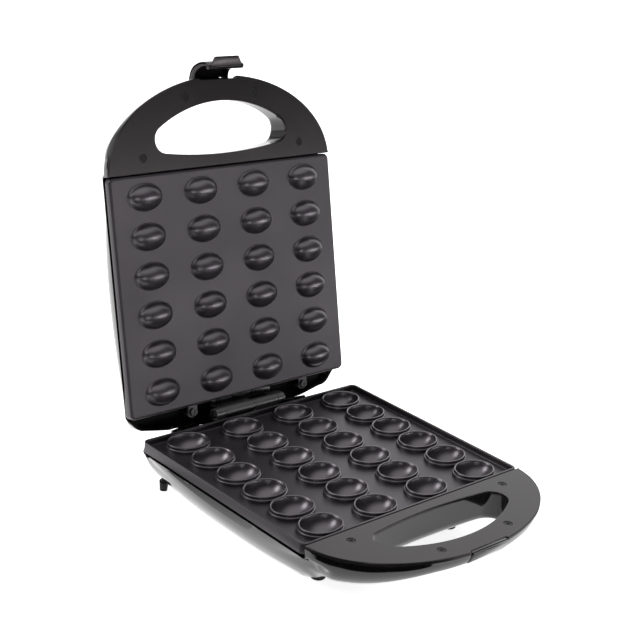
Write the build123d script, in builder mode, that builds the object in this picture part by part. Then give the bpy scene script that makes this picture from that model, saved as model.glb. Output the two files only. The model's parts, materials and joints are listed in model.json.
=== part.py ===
from build123d import *
import os
from math import sqrt, sin, cos, radians

os.makedirs("parts", exist_ok=True)

# ---------------------------------------------------------------------------
# Driving dimensions, millimetres.
# Each half is described in its own depth frame: x across, y to the rear,
# d away from the cooking face, with d = 0 on the rim plane of the bowls.
# ---------------------------------------------------------------------------
RIM_HEIGHT = 55.2          # rim plane above the table
Y_SHIFT = -14.945            # puts the origin under the middle of the open object
OPEN_ANGLE = 104.31        # lid leaning back past upright
LATCH_SWING = 16.0         # latch from hooked to hanging free
FACE_GAP = 0.4             # between the two cooking faces when closed

PLATE_HALF_X = 119.6
PLATE_HALF_Y = 100.05
PLATE_CORNER = 5.0
PLATE_SKIRT = 9.4
PLATE_FLOOR = 5.2          # bowls stand proud of a sunken floor
PLATE_WEB = 3.0
LIP_WIDTH = 2.4

WELL_PITCH_X = 57.5
WELL_PITCH_Y = 32.6
RING_HALF_X = 19.0
RING_HALF_Y = 15.0
BOWL_HALF_X = 17.4
BOWL_HALF_Y = 13.4
BOWL_RISE = 1.0            # bowl axis above the rim plane
BOWL_WALL = 2.2
DOME_HALF_X = 16.6
DOME_HALF_Y = 10.6
DOME_SINK = 1.2            # dome axis below the face

HANDLE_CENTRE_Y = -97.75
HANDLE_A = 119.6
HANDLE_B = 78.2
HANDLE_PLATE = 2.6
HANDLE_REAR = -100.65

SHELL_WALL = 2.5
SHELL_RIM = 10.9
SHELL_DEPTH = 47.7
SIDE_RADIUS = 69.0
SIDE_CENTRE_X = 50.6
SIDE_CENTRE_D = -5.75
GRIP_RADIUS = 15.6
REAR_Y = 125.0
REAR_CORNER = (106.5, 112.6)
REAR_SHOULDER = (119.6, 98.9)
REAR_RADIUS = 24.0

HINGE_Y = 111.77
HINGE_D = 0.69             # axis a little below the base rim plane
KNUCKLE_R = 5.0
PIN_R = 2.0
PIN_PLAY = 0.05
BASE_KNUCKLES = [(-36.2, -25.6), (6.6, 33.6)]
LID_KNUCKLES = [(-25.3, 6.3), (33.9, 41.4)]

PIVOT_Y = -170.0
PIVOT_D = 13.5

HANDLE_SCREWS = [(-37.4, -159.85), (37.4, -159.85), (-84.8, -113.2), (84.8, -113.2)]
EAR_X = (-51.75, 74.75)
EAR_Y = 107.0
CLIP_Y = (-32.6, 0.0, 65.2)
REFLECTOR_D = 24.0
REFLECTOR_POSTS = [(-70, -62), (70, -62), (-70, 62), (70, 62)]
FRONT_FEET = [(-74.2, -72.8), (74.2, -72.8)]
REAR_FEET = [(-90.9, 104.6), (90.9, 104.6)]

# ---------------------------------------------------------------------------
# Frames
# ---------------------------------------------------------------------------
UP = Plane(origin=(0, Y_SHIFT, RIM_HEIGHT), x_dir=(1, 0, 0), z_dir=(0, 0, 1))
BASE = Plane(origin=(0, Y_SHIFT, RIM_HEIGHT), x_dir=(-1, 0, 0), z_dir=(0, 0, -1))
C_OPEN = cos(radians(OPEN_ANGLE))
S_OPEN = sin(radians(OPEN_ANGLE))


def opened(y, z):
    """Place of a closed-lid point (y, z above the rim plane) with the lid open."""
    dy, dz = y - HINGE_Y, z + HINGE_D
    return (dy * C_OPEN + dz * S_OPEN + HINGE_Y, -dy * S_OPEN + dz * C_OPEN - HINGE_D)


LID_Y, LID_Z = opened(0, FACE_GAP)
LID = Plane(origin=(0, LID_Y + Y_SHIFT, LID_Z + RIM_HEIGHT), x_dir=(1, 0, 0),
            z_dir=(0, S_OPEN, C_OPEN))


def level(frame, d):
    """Plane at depth d, sketch axes x and y."""
    return Plane(origin=frame.from_local_coords(Vector(0, 0, d)), x_dir=frame.x_dir,
                 z_dir=frame.z_dir)


def across(frame, y):
    """Plane across the object at y, sketch axes x and d, facing the front."""
    return Plane(origin=frame.from_local_coords(Vector(0, y, 0)), x_dir=frame.x_dir,
                 z_dir=frame.y_dir * -1)


def along(frame, x):
    """Plane along the object at x, sketch axes y and d."""
    return Plane(origin=frame.from_local_coords(Vector(x, 0, 0)), x_dir=frame.y_dir,
                 z_dir=frame.x_dir)


def block(frame, x0, x1, y0, y1, d0, d1):
    """Plain rectangular solid given by its extents in a half's depth frame."""
    with BuildPart() as b:
        with BuildSketch(level(frame, d0)):
            with Locations(((x0 + x1) / 2, (y0 + y1) / 2)):
                Rectangle(x1 - x0, y1 - y0)
        extrude(amount=d1 - d0)
    return b.part


def post(frame, x, y, radius, d0, d1):
    with BuildPart() as b:
        with BuildSketch(level(frame, d0)):
            with Locations((x, y)):
                Circle(radius)
        extrude(amount=d1 - d0)
    return b.part


def rod(frame, y, d, radius, x0, x1):
    """Round bar along x."""
    with BuildPart() as b:
        with BuildSketch(along(frame, x0)):
            with Locations((y, d)):
                Circle(radius)
        extrude(amount=x1 - x0)
    return b.part


WELLS = [((i - 1.5) * WELL_PITCH_X, (2.5 - j) * WELL_PITCH_Y) for j in range(6) for i in range(4)]


# ---------------------------------------------------------------------------
# Housing form: plan outline, side profile and length profile in common
# ---------------------------------------------------------------------------
def housing_form(frame, inset):
    cx, cy = REAR_CORNER
    sx, sy = REAR_SHOULDER
    with BuildPart() as form:
        with BuildSketch(level(frame, 0)):
            with BuildLine():
                EllipticalCenterArc((0, HANDLE_CENTRE_Y), HANDLE_A - inset, HANDLE_B - inset,
                                    start_angle=180, arc_size=180)
                Polyline((sx - inset, HANDLE_CENTRE_Y), (sx - inset, sy - 0.4 * inset),
                         (cx - 0.4 * inset, cy - inset))
                ThreePointArc((cx - 0.4 * inset, cy - inset), (0, REAR_Y - inset),
                              (-cx + 0.4 * inset, cy - inset))
                Polyline((-cx + 0.4 * inset, cy - inset), (-sx + inset, sy - 0.4 * inset),
                         (-sx + inset, HANDLE_CENTRE_Y))
            make_face()
        extrude(amount=SHELL_DEPTH - inset)
        r = SIDE_RADIUS - inset
        top = SIDE_CENTRE_X + sqrt(r * r - SIDE_CENTRE_D ** 2)
        low = SIDE_CENTRE_X + sqrt(r * r - (SHELL_DEPTH - inset - SIDE_CENTRE_D) ** 2)
        half = radians(28)
        mid = (SIDE_CENTRE_X + r * cos(half), SIDE_CENTRE_D + r * sin(half))
        with BuildSketch(across(frame, 130)):
            with BuildLine():
                ThreePointArc((top, 0), mid, (low, SHELL_DEPTH - inset))
                Line((low, SHELL_DEPTH - inset), (-low, SHELL_DEPTH - inset))
                ThreePointArc((-low, SHELL_DEPTH - inset), (-mid[0], mid[1]), (-top, 0))
                Line((-top, 0), (top, 0))
            make_face()
        extrude(amount=320, mode=Mode.INTERSECT)
        g = GRIP_RADIUS - inset
        front = HANDLE_CENTRE_Y - HANDLE_B
        gc = front + GRIP_RADIUS
        q = REAR_RADIUS - inset
        with BuildSketch(along(frame, -130)):
            with BuildLine():
                ThreePointArc((gc - g, 0), (gc - g * cos(radians(45)), g * sin(radians(45))),
                              (gc, g))
                Spline((gc, g), (-138, 19.5 - inset), (-110, 27.6 - inset),
                       (-92, 39.5 - inset), (-70, SHELL_DEPTH - inset),
                       tangents=[(1, 0), (1, 0)])
                Line((-70, SHELL_DEPTH - inset), (REAR_Y - REAR_RADIUS, SHELL_DEPTH - inset))
                ThreePointArc((REAR_Y - REAR_RADIUS, SHELL_DEPTH - inset),
                              (REAR_Y - REAR_RADIUS + q * sin(radians(45)),
                               SHELL_DEPTH - REAR_RADIUS + q * cos(radians(45))),
                              (REAR_Y - inset, SHELL_DEPTH - REAR_RADIUS))
                Polyline((REAR_Y - inset, SHELL_DEPTH - REAR_RADIUS), (REAR_Y - inset, 0),
                         (gc - g, 0))
            make_face()
        extrude(amount=260, mode=Mode.INTERSECT)
    return form.part


def finger_opening(frame, grow, d0, d1):
    """Crescent hole between the plate and the grip: two circles in common."""
    with BuildPart() as hole:
        with BuildSketch(level(frame, d0)) as crescent:
            with Locations((0, -530.6)):
                Circle(420.0 + grow)
            with Locations((0, -29.0)):
                Circle(125.7 + grow, mode=Mode.INTERSECT)
            fillet(crescent.vertices(), 11.5 + grow)
        extrude(amount=d1 - d0)
    return hole.part


def housing(frame, recess_y, recess_d):
    """One gloss housing with its half of the handle."""
    outer = housing_form(frame, 0)
    inner = housing_form(frame, SHELL_WALL)
    middle = housing_form(frame, 1.2)
    with BuildPart() as fittings:
        add(finger_opening(frame, SHELL_WALL, 0.5, SHELL_DEPTH))
        add(block(frame, -119, 119, HANDLE_REAR - 2.5, HANDLE_REAR, 0.5, SHELL_DEPTH))
        add(block(frame, -60, 60, HANDLE_REAR - 1, -96.0, PLATE_SKIRT, PLATE_SKIRT + 3))
        # shelf behind the cooking plate
        add(block(frame, -116, 116, 101.2, 117.0, 17.0, 19.0))
        add(block(frame, -116, 116, 115.5, 124.5, 18.9, 21.0))
        for x, y in HANDLE_SCREWS:
            add(post(frame, x, y, 4.2, 0.5, 46.0))
        for x, y in REFLECTOR_POSTS:
            add(post(frame, x, y, 4.5, REFLECTOR_D + 0.8, SHELL_DEPTH - 1))
        for y in (-85.0, 62.0):
            add(post(frame, 0, y, 4.0, PLATE_FLOOR + PLATE_WEB, SHELL_DEPTH - 1))
        for x in EAR_X:
            add(post(frame, x, EAR_Y, 4.2, PLATE_SKIRT, 18.0))
        # closed back of the latch recess
        add(block(frame, -23, 23, recess_y, recess_y + 2.0, 0.5, 16.0))
        add(middle, mode=Mode.INTERSECT)
    with BuildPart() as shell:
        add(outer)
        add(inner, mode=Mode.SUBTRACT)
        add(fittings.part)
        add(finger_opening(frame, 0, -1, SHELL_DEPTH + 1), mode=Mode.SUBTRACT)
        add(block(frame, -130, 130, HANDLE_REAR, 130, -1, SHELL_RIM), mode=Mode.SUBTRACT)
        add(block(frame, -130, 130, -190, HANDLE_REAR, -1, HANDLE_PLATE), mode=Mode.SUBTRACT)
        # lowered rear rim, where the two halves pass each other
        add(block(frame, -68, 68, 117.0, 130, -1, 19.0), mode=Mode.SUBTRACT)
        add(block(frame, -60, 60, HANDLE_REAR - 0.1, -96.0, PLATE_SKIRT, PLATE_SKIRT + 3))
        for x in EAR_X:
            add(post(frame, x, EAR_Y, 4.2, PLATE_SKIRT, 18.0))
        for y in (-85.0, 62.0):
            add(post(frame, 0, y, 4.0, PLATE_FLOOR + PLATE_WEB, 30.0))
        # recess for the latch at the nose of the handle
        add(block(frame, -20.7, 20.7, -190, recess_y, -1, recess_d), mode=Mode.SUBTRACT)
        for x, y in HANDLE_SCREWS:
            add(post(frame, x, y, 1.45, -1, 13.0), mode=Mode.SUBTRACT)
        for x, y in REFLECTOR_POSTS:
            add(post(frame, x, y, 1.45, 20, 34.0), mode=Mode.SUBTRACT)
        for x in EAR_X:
            add(post(frame, x, EAR_Y, 1.45, 5, 16.9), mode=Mode.SUBTRACT)
    return shell.part


def handle_plate(frame, thickness_from):
    """Flat cover of the handle half, with recessed screw seats."""
    with BuildPart() as plate:
        with BuildSketch(level(frame, thickness_from)) as face:
            with BuildLine():
                EllipticalCenterArc((0, HANDLE_CENTRE_Y), HANDLE_A, HANDLE_B,
                                    start_angle=183, arc_size=174)
                e = EllipticalCenterArc((0, HANDLE_CENTRE_Y), HANDLE_A, HANDLE_B,
                                        start_angle=183, arc_size=174, mode=Mode.PRIVATE)
                p0, p1 = e @ 0, e @ 1
                Polyline((p1.X, p1.Y), (p1.X, HANDLE_REAR), (p0.X, HANDLE_REAR), (p0.X, p0.Y))
            make_face()
            with Locations((0, -190 + 7.6)):
                Rectangle(41.4, 19.0, mode=Mode.SUBTRACT)
        extrude(amount=HANDLE_PLATE)
        add(finger_opening(frame, 0, -2, 6), mode=Mode.SUBTRACT)
        for x, y in HANDLE_SCREWS:
            add(post(frame, x, y, 3.7, -1, thickness_from + 1.4), mode=Mode.SUBTRACT)
            add(post(frame, x, y, 1.8, -1, 6), mode=Mode.SUBTRACT)
    return plate.part


def screws(frame, spots, head_r, head_h, shank_r, d_under_head, length):
    """Pan-head cross-slot screws, head towards the cooking face."""
    with BuildPart() as group:
        for x, y in spots:
            add(post(frame, x, y, head_r, d_under_head - head_h, d_under_head))
            add(post(frame, x, y, shank_r, d_under_head - 0.01, d_under_head + length))
            slot = d_under_head - head_h - 0.1
            add(block(frame, x - head_r * 0.55, x + head_r * 0.55, y - 0.35, y + 0.35, slot,
                      slot + 0.8), mode=Mode.SUBTRACT)
            add(block(frame, x - 0.35, x + 0.35, y - head_r * 0.55, y + head_r * 0.55, slot,
                      slot + 0.8), mode=Mode.SUBTRACT)
    return group.part


def spheroid(frame, x, y, d, half_x, half_y):
    """Egg-shaped solid: a half ellipse turned about its long axis."""
    base = level(frame, d)
    with BuildPart() as egg:
        with BuildSketch(base):
            with Locations((x, y)):
                Ellipse(half_x, half_y)
                with Locations((0, -half_y)):
                    Rectangle(2 * half_x + 2, 2 * half_y, mode=Mode.SUBTRACT)
        revolve(axis=Axis(base.from_local_coords(Vector(x, y, 0)), frame.x_dir))
    return egg.part


def ears(frame):
    with BuildPart() as tabs:
        for x in EAR_X:
            with BuildSketch(level(frame, PLATE_SKIRT - 2.4)):
                with Locations((x, EAR_Y)):
                    Circle(4.95)
                with Locations((x, (EAR_Y + PLATE_HALF_Y - 2) / 2)):
                    Rectangle(9.9, EAR_Y - PLATE_HALF_Y + 2)
            extrude(amount=2.4)
        for x in EAR_X:
            add(post(frame, x, EAR_Y, 1.8, 2, 12), mode=Mode.SUBTRACT)
    return tabs.part


def rounded_slab(frame, hx, hy, r, d0, d1):
    with BuildPart() as slab:
        with BuildSketch(level(frame, d0)):
            RectangleRounded(2 * hx, 2 * hy, r)
        extrude(amount=d1 - d0)
    return slab.part


# element route shared by both plates: a U in the two outer column gaps and one row gap
def element_path(frame, d):
    with BuildLine(level(frame, d)) as route:
        FilletPolyline((-57.5, 92), (-57.5, -65.2), (57.5, -65.2), (57.5, 92), radius=12)
    return route


def heating_element(frame):
    d = PLATE_FLOOR + PLATE_WEB + 3.35
    path = element_path(frame, d)
    with BuildPart() as tube:
        with BuildSketch(across(frame, 92)):
            with Locations((-57.5, d)):
                Circle(3.3)
        sweep(path=path.wires()[0])
    with BuildPart() as pins:
        for x in (-57.5, 57.5):
            with BuildSketch(across(frame, 97)):
                with Locations((x, d)):
                    Circle(1.2)
            extrude(amount=5.0)
    with BuildPart() as heater:
        add(tube.part)
        add(pins.part)
    return heater.part


def element_clips(frame):
    d = PLATE_FLOOR + PLATE_WEB
    with BuildPart() as clips:
        for x in (-57.5, 57.5):
            for y in CLIP_Y:
                add(block(frame, x - 5.2, x + 5.2, y - 4, y + 4, d + 6.8, d + 7.8))
                for s in (-1, 1):
                    add(block(frame, x + s * 4.7 - 0.5, x + s * 4.7 + 0.5, y - 4, y + 4, d, d + 6.9))
                add(block(frame, x + 4.7, x + 10.2, y - 4, y + 4, d, d + 1.0))
                add(post(frame, x + 7.8, y, 1.1, d - 1, d + 2), mode=Mode.SUBTRACT)
    return clips.part


def clip_screws(frame):
    d = PLATE_FLOOR + PLATE_WEB + 1.0
    with BuildPart() as group:
        for x in (-57.5, 57.5):
            for y in CLIP_Y:
                add(post(frame, x + 7.8, y, 2.0, d, d + 1.2))
                add(post(frame, x + 7.8, y, 1.0, d - 3.0, d + 0.1))
    return group.part


def reflector(frame):
    with BuildPart() as tray:
        with BuildSketch(level(frame, REFLECTOR_D)):
            RectangleRounded(190, 160, 8)
            with Locations((0, -85.0), (0, 62.0)):
                Circle(6.0, mode=Mode.SUBTRACT)
        extrude(amount=0.8)
        with BuildSketch(level(frame, REFLECTOR_D - 6.0)):
            RectangleRounded(190, 160, 8)
            RectangleRounded(188.4, 158.4, 7.2, mode=Mode.SUBTRACT)
            with Locations((0, -80.0)):
                Rectangle(14.0, 8.0, mode=Mode.SUBTRACT)
        extrude(amount=6.1)
        for x, y in REFLECTOR_POSTS:
            add(post(frame, x, y, 1.8, 20, 30), mode=Mode.SUBTRACT)
    return tray.part


def hinge_bracket(frame, knuckles, hinge_d, foot_x0, foot_x1, holes):
    with BuildPart() as bracket:
        for x0, x1 in knuckles:
            add(rod(frame, HINGE_Y, hinge_d, KNUCKLE_R, x0, x1))
            add(block(frame, x0, x1, HINGE_Y - KNUCKLE_R, HINGE_Y - KNUCKLE_R + 2.4, hinge_d, 15.8))
        add(block(frame, foot_x0, foot_x1, 102.0, HINGE_Y - KNUCKLE_R + 2.4, 14.9, 17.0))
        for x0, x1 in knuckles:
            add(rod(frame, HINGE_Y, hinge_d, PIN_R + PIN_PLAY, x0 - 1, x1 + 1), mode=Mode.SUBTRACT)
        for x in holes:
            add(post(frame, x, 104.3, 1.45, 10, 20), mode=Mode.SUBTRACT)
    return bracket.part


# ---------------------------------------------------------------------------
# Base half
# ---------------------------------------------------------------------------
base_form = housing(BASE, -168.3, 12.5)
INLET_X, INLET_D = 48.0, 31.0
BASE_HINGE_HOLES = (-12.0, 12.0, 28.0)
with BuildPart() as base_shell:
    add(base_form)
    # cord inlet through the rear wall (x is mirrored in the base depth frame)
    with BuildSketch(across(BASE, 127)):
        with Locations((INLET_X, INLET_D)):
            Circle(6.0)
    extrude(amount=14, mode=Mode.SUBTRACT)
    # sockets for the foot stems
    for x, y in FRONT_FEET + REAR_FEET:
        add(post(BASE, x, y, 2.5, 40, 50), mode=Mode.SUBTRACT)
    # seat for the terminal block screws
    for y in (79.0, 91.0):
        add(post(BASE, 10, y, 3.0, 40, SHELL_DEPTH - 1))
        add(post(BASE, 10, y, 1.0, 39, SHELL_DEPTH - 3), mode=Mode.SUBTRACT)
    for x in BASE_HINGE_HOLES:
        add(post(BASE, x, 104.3, 1.2, 10, 22), mode=Mode.SUBTRACT)
base_shell.part.label = "base_shell"

with BuildPart() as base_handle_plate:
    add(handle_plate(BASE, 0))
base_handle_plate.part.label = "base_handle_plate"

with BuildPart() as base_handle_screws:
    add(screws(BASE, HANDLE_SCREWS, 3.2, 1.1, 1.4, 1.4, 10.0))
base_handle_screws.part.label = "base_handle_screws"

with BuildPart() as lower_cooking_plate:
    add(rounded_slab(BASE, PLATE_HALF_X, PLATE_HALF_Y, PLATE_CORNER, 0, PLATE_SKIRT))
    add(rounded_slab(BASE, PLATE_HALF_X - LIP_WIDTH, PLATE_HALF_Y - LIP_WIDTH,
                     PLATE_CORNER - 1.5, -1, PLATE_FLOOR), mode=Mode.SUBTRACT)
    add(rounded_slab(BASE, PLATE_HALF_X - LIP_WIDTH, PLATE_HALF_Y - LIP_WIDTH,
                     PLATE_CORNER - 1.5, PLATE_FLOOR + PLATE_WEB, 20), mode=Mode.SUBTRACT)
    add(ears(BASE))
    with BuildSketch(level(BASE, 0)):
        with Locations(*WELLS):
            Ellipse(RING_HALF_X, RING_HALF_Y)
    extrude(amount=PLATE_FLOOR + 1)
    for x, y in WELLS:
        add(spheroid(BASE, x, y, -BOWL_RISE, BOWL_HALF_X + BOWL_WALL, BOWL_HALF_Y + BOWL_WALL)
            & block(BASE, x - 30, x + 30, y - 30, y + 30, PLATE_FLOOR + 1, 30))
    for x, y in WELLS:
        add(spheroid(BASE, x, y, -BOWL_RISE, BOWL_HALF_X, BOWL_HALF_Y), mode=Mode.SUBTRACT)
    for x in (-57.5, 57.5):
        for y in CLIP_Y:
            add(post(BASE, x + 7.8, y, 1.0, PLATE_FLOOR + 1.0, 20), mode=Mode.SUBTRACT)
lower_cooking_plate.part.label = "lower_cooking_plate"

with BuildPart() as lower_plate_screws:
    add(screws(BASE, [(x, EAR_Y) for x in EAR_X], 3.4, 1.8, 1.4, PLATE_SKIRT - 2.4, 9.0))
lower_plate_screws.part.label = "lower_plate_screws"

# ledge that the latch hooks under, at the nose of the handle
with BuildPart() as latch_catch:
    with BuildSketch(along(BASE, -18.4)):
        with BuildLine():
            Polyline((-168.3, HANDLE_PLATE + 0.2), (-174.6, HANDLE_PLATE + 0.2), (-175.3, 6.0),
                     (-175.3, 9.2), (-174.3, 10.5), (-172.6, 10.5), (-171.6, 9.0), (-168.3, 9.0),
                     close=True)
        make_face()
    extrude(amount=36.8)
latch_catch.part.label = "latch_catch"

shell_solid_base = housing_form(BASE, 0)
with BuildPart() as front_feet:
    for x, y in FRONT_FEET:
        add(post(BASE, x, y, 6.2, 44, RIM_HEIGHT))
    chamfer(front_feet.faces().sort_by(Axis.Z)[0:2].edges(), 0.8)
    add(shell_solid_base, mode=Mode.SUBTRACT)
    for x, y in FRONT_FEET:
        add(post(BASE, x, y, 2.45, 45.2, 50))
front_feet.part.label = "front_feet"

with BuildPart() as rear_feet:
    for x, y in REAR_FEET:
        with BuildSketch(level(BASE, RIM_HEIGHT)):
            with Locations((x, y)):
                Circle(3.2)
        with BuildSketch(level(BASE, 41.0)):
            with Locations((x, y)):
                Circle(4.6)
        loft()
    add(shell_solid_base, mode=Mode.SUBTRACT)
    for x, y in REAR_FEET:
        add(post(BASE, x, y, 2.45, 43.0, 50))
rear_feet.part.label = "rear_feet"

with BuildPart() as lower_heating_element:
    add(heating_element(BASE))
lower_heating_element.part.label = "lower_heating_element"

with BuildPart() as lower_element_clips:
    add(element_clips(BASE))
lower_element_clips.part.label = "lower_element_clips"

with BuildPart() as lower_clip_screws:
    add(clip_screws(BASE))
lower_clip_screws.part.label = "lower_clip_screws"

with BuildPart() as lower_heat_reflector:
    add(reflector(BASE))
    # way through for the thermostat lead
    add(post(BASE, -8, 6, 3.0, 20, 30), mode=Mode.SUBTRACT)
lower_heat_reflector.part.label = "lower_heat_reflector"

with BuildPart() as lower_reflector_screws:
    add(screws(BASE, REFLECTOR_POSTS, 3.2, 1.6, 1.4, REFLECTOR_D, 9.0))
lower_reflector_screws.part.label = "lower_reflector_screws"

# base depth frame has x mirrored, so the knuckle stations are mirrored back
base_stations = [(-b, -a) for a, b in BASE_KNUCKLES]
with BuildPart() as base_hinge_bracket:
    add(hinge_bracket(BASE, base_stations, HINGE_D, -33.6, 36.2, BASE_HINGE_HOLES))
base_hinge_bracket.part.label = "base_hinge_bracket"

with BuildPart() as base_hinge_screws:
    add(screws(BASE, [(x, 104.3) for x in BASE_HINGE_HOLES], 2.2, 1.4, 1.15, 14.9, 6.5))
base_hinge_screws.part.label = "base_hinge_screws"

with BuildPart() as hinge_pin:
    add(rod(UP, HINGE_Y, -HINGE_D, PIN_R, -36.8, 42.0))
    add(rod(UP, HINGE_Y, -HINGE_D, 3.4, -38.2, -36.5))
    add(rod(UP, HINGE_Y, -HINGE_D, 3.4, 41.7, 43.0))
hinge_pin.part.label = "hinge_pin"

with BuildPart() as cord_inlet_bush:
    with BuildSketch(across(BASE, 125.8)):
        with Locations((INLET_X, INLET_D)):
            Circle(7.6)
    extrude(amount=3.9)
    with BuildSketch(across(BASE, 125.8)):
        with Locations((INLET_X, INLET_D)):
            Circle(5.95)
    extrude(amount=12.0)
    with BuildSketch(across(BASE, 127.0)):
        with Locations((INLET_X, INLET_D)):
            Circle(3.5)
    extrude(amount=16.0, mode=Mode.SUBTRACT)
    add(base_shell.part, mode=Mode.SUBTRACT)
cord_inlet_bush.part.label = "cord_inlet_bush"

with BuildPart() as thermostat:
    add(post(BASE, 0, 0, 6.5, PLATE_FLOOR + PLATE_WEB, 15.6))
    for s in (-1, 1):
        add(block(BASE, s * 3.2 - 1.6, s * 3.2 + 1.6, -9.5, -5.5, 12.6, 13.4))
thermostat.part.label = "thermostat"

with BuildPart() as thermal_fuse:
    with BuildSketch(across(BASE, 44)):
        with Locations((0, PLATE_FLOOR + PLATE_WEB + 2.05)):
            Circle(2.0)
    extrude(amount=11)
thermal_fuse.part.label = "thermal_fuse"

with BuildPart() as terminal_block:
    add(block(BASE, 3, 17, 71, 99, 29.0, 40.0))
    for y in (78.0, 85.0, 92.0):
        for x in (6.5, 13.5):
            add(post(BASE, x, y, 1.8, 28, 34), mode=Mode.SUBTRACT)
terminal_block.part.label = "terminal_block"


def lead(frame, points, radii, radius, start_plane):
    """Round insulated lead on straight runs joined by arcs."""
    with BuildPart() as wire:
        with BuildLine(frame) as way:
            FilletPolyline(*points, radius=radii)
        with BuildSketch(start_plane):
            Circle(radius)
        sweep(path=way.wires()[0])
    return wire.part


def start_at(frame, point, direction):
    """Plane normal to a lead at its first point."""
    o = frame.from_local_coords(Vector(*point))
    d = frame.from_local_coords(Vector(*direction)) - frame.origin
    return Plane(origin=o, z_dir=d)


with BuildPart() as base_wiring:
    add(lead(BASE, [(48, 117, 29.4), (48, 92, 29.4), (17.3, 92, 31.0)], 8.0, 1.4,
             start_at(BASE, (48, 117, 29.4), (0, -1, 0))))
    add(lead(BASE, [(48, 117, 32.6), (48, 78, 32.6), (17.3, 78, 31.0)], 8.0, 1.4,
             start_at(BASE, (48, 117, 32.6), (0, -1, 0))))
    add(lead(BASE, [(3, 92, 31), (-57.5, 92, 31), (-57.5, 99.5, 31), (-57.5, 99.5, 13.0)], 3.5,
             1.2, start_at(BASE, (3, 92, 31), (-1, 0, 0))))
    add(lead(BASE, [(3, 78, 31), (-8, 78, 31), (-8, 6, 31), (-8, 6, 16.0)], 5.0,
             1.2, start_at(BASE, (3, 78, 31), (-1, 0, 0))))
base_wiring.part.label = "base_wiring"

# ---------------------------------------------------------------------------
# Lid half
# ---------------------------------------------------------------------------
lid_form = housing(LID, -165.2, 20.0)
LID_HINGE_HOLES = (-18.0, 0.0, 22.0)
LAMP_X = (-9.0, 9.0)
LAMP_Y = -58.0
with BuildPart() as pivot_ears:
    for x in (-15.9, 12.9):
        with BuildSketch(along(LID, x)):
            with Locations((PIVOT_Y, PIVOT_D)):
                Circle(4.0)
            with BuildLine():
                Polyline((PIVOT_Y, PIVOT_D - 4.0), (-163.5, PIVOT_D - 4.0), (-160.5, 15.5),
                         (-163.0, PIVOT_D + 4.0), (PIVOT_Y, PIVOT_D + 4.0), close=True)
            make_face()
        extrude(amount=3.0)
with BuildPart() as lid_shell:
    add(lid_form)
    add(pivot_ears.part)
    add(rod(LID, PIVOT_Y, PIVOT_D, 1.45, -20, 20), mode=Mode.SUBTRACT)
    for x in LAMP_X:
        add(post(LID, x, LAMP_Y, 3.6, 40, 50), mode=Mode.SUBTRACT)
    for x in LID_HINGE_HOLES:
        add(post(LID, x, 104.3, 1.2, 10, 22), mode=Mode.SUBTRACT)
lid_shell.part.label = "lid_shell"

with BuildPart() as lid_handle_plate:
    add(handle_plate(LID, 0))
lid_handle_plate.part.label = "lid_handle_plate"

with BuildPart() as lid_handle_screws:
    add(screws(LID, HANDLE_SCREWS, 3.2, 1.1, 1.4, 1.4, 10.0))
lid_handle_screws.part.label = "lid_handle_screws"

with BuildPart() as upper_cooking_plate:
    add(rounded_slab(LID, PLATE_HALF_X, PLATE_HALF_Y, PLATE_CORNER, 0, PLATE_SKIRT))
    chamfer(upper_cooking_plate.faces().sort_by(Axis(LID.origin, LID.z_dir))[0].edges(), 1.5)
    add(rounded_slab(LID, PLATE_HALF_X - LIP_WIDTH, PLATE_HALF_Y - LIP_WIDTH,
                     PLATE_CORNER - 1.5, PLATE_WEB, 20), mode=Mode.SUBTRACT)
    add(ears(LID))
    for x, y in WELLS:
        add(spheroid(LID, x, y, DOME_SINK, DOME_HALF_X, DOME_HALF_Y)
            & block(LID, x - 30, x + 30, y - 30, y + 30, -20, 0.5))
    # seats for the heating element, level with the lower one
    for x in (-57.5, 57.5):
        add(block(LID, x - 6, x + 11, -70, 70, PLATE_WEB, PLATE_FLOOR + PLATE_WEB))
        for y in CLIP_Y:
            add(post(LID, x + 7.8, y, 1.0, PLATE_FLOOR + 1.0, 20), mode=Mode.SUBTRACT)
    for y in (-85.0, 62.0):
        add(post(LID, 0, y, 5.0, PLATE_WEB - 0.1, PLATE_FLOOR + PLATE_WEB))
upper_cooking_plate.part.label = "upper_cooking_plate"

with BuildPart() as upper_plate_screws:
    add(screws(LID, [(x, EAR_Y) for x in EAR_X], 3.4, 1.8, 1.4, PLATE_SKIRT - 2.4, 9.0))
upper_plate_screws.part.label = "upper_plate_screws"

with BuildPart() as upper_heating_element:
    add(heating_element(LID))
upper_heating_element.part.label = "upper_heating_element"

with BuildPart() as upper_element_clips:
    add(element_clips(LID))
upper_element_clips.part.label = "upper_element_clips"

with BuildPart() as upper_clip_screws:
    add(clip_screws(LID))
upper_clip_screws.part.label = "upper_clip_screws"

with BuildPart() as upper_heat_reflector:
    add(reflector(LID))
upper_heat_reflector.part.label = "upper_heat_reflector"

with BuildPart() as upper_reflector_screws:
    add(screws(LID, REFLECTOR_POSTS, 3.2, 1.6, 1.4, REFLECTOR_D, 9.0))
upper_reflector_screws.part.label = "upper_reflector_screws"

with BuildPart() as lid_hinge_bracket:
    add(hinge_bracket(LID, LID_KNUCKLES, -HINGE_D - FACE_GAP, -25.3, 41.4, LID_HINGE_HOLES))
lid_hinge_bracket.part.label = "lid_hinge_bracket"

with BuildPart() as lid_hinge_screws:
    add(screws(LID, [(x, 104.3) for x in LID_HINGE_HOLES], 2.2, 1.4, 1.15, 14.9, 6.5))
lid_hinge_screws.part.label = "lid_hinge_screws"

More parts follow.
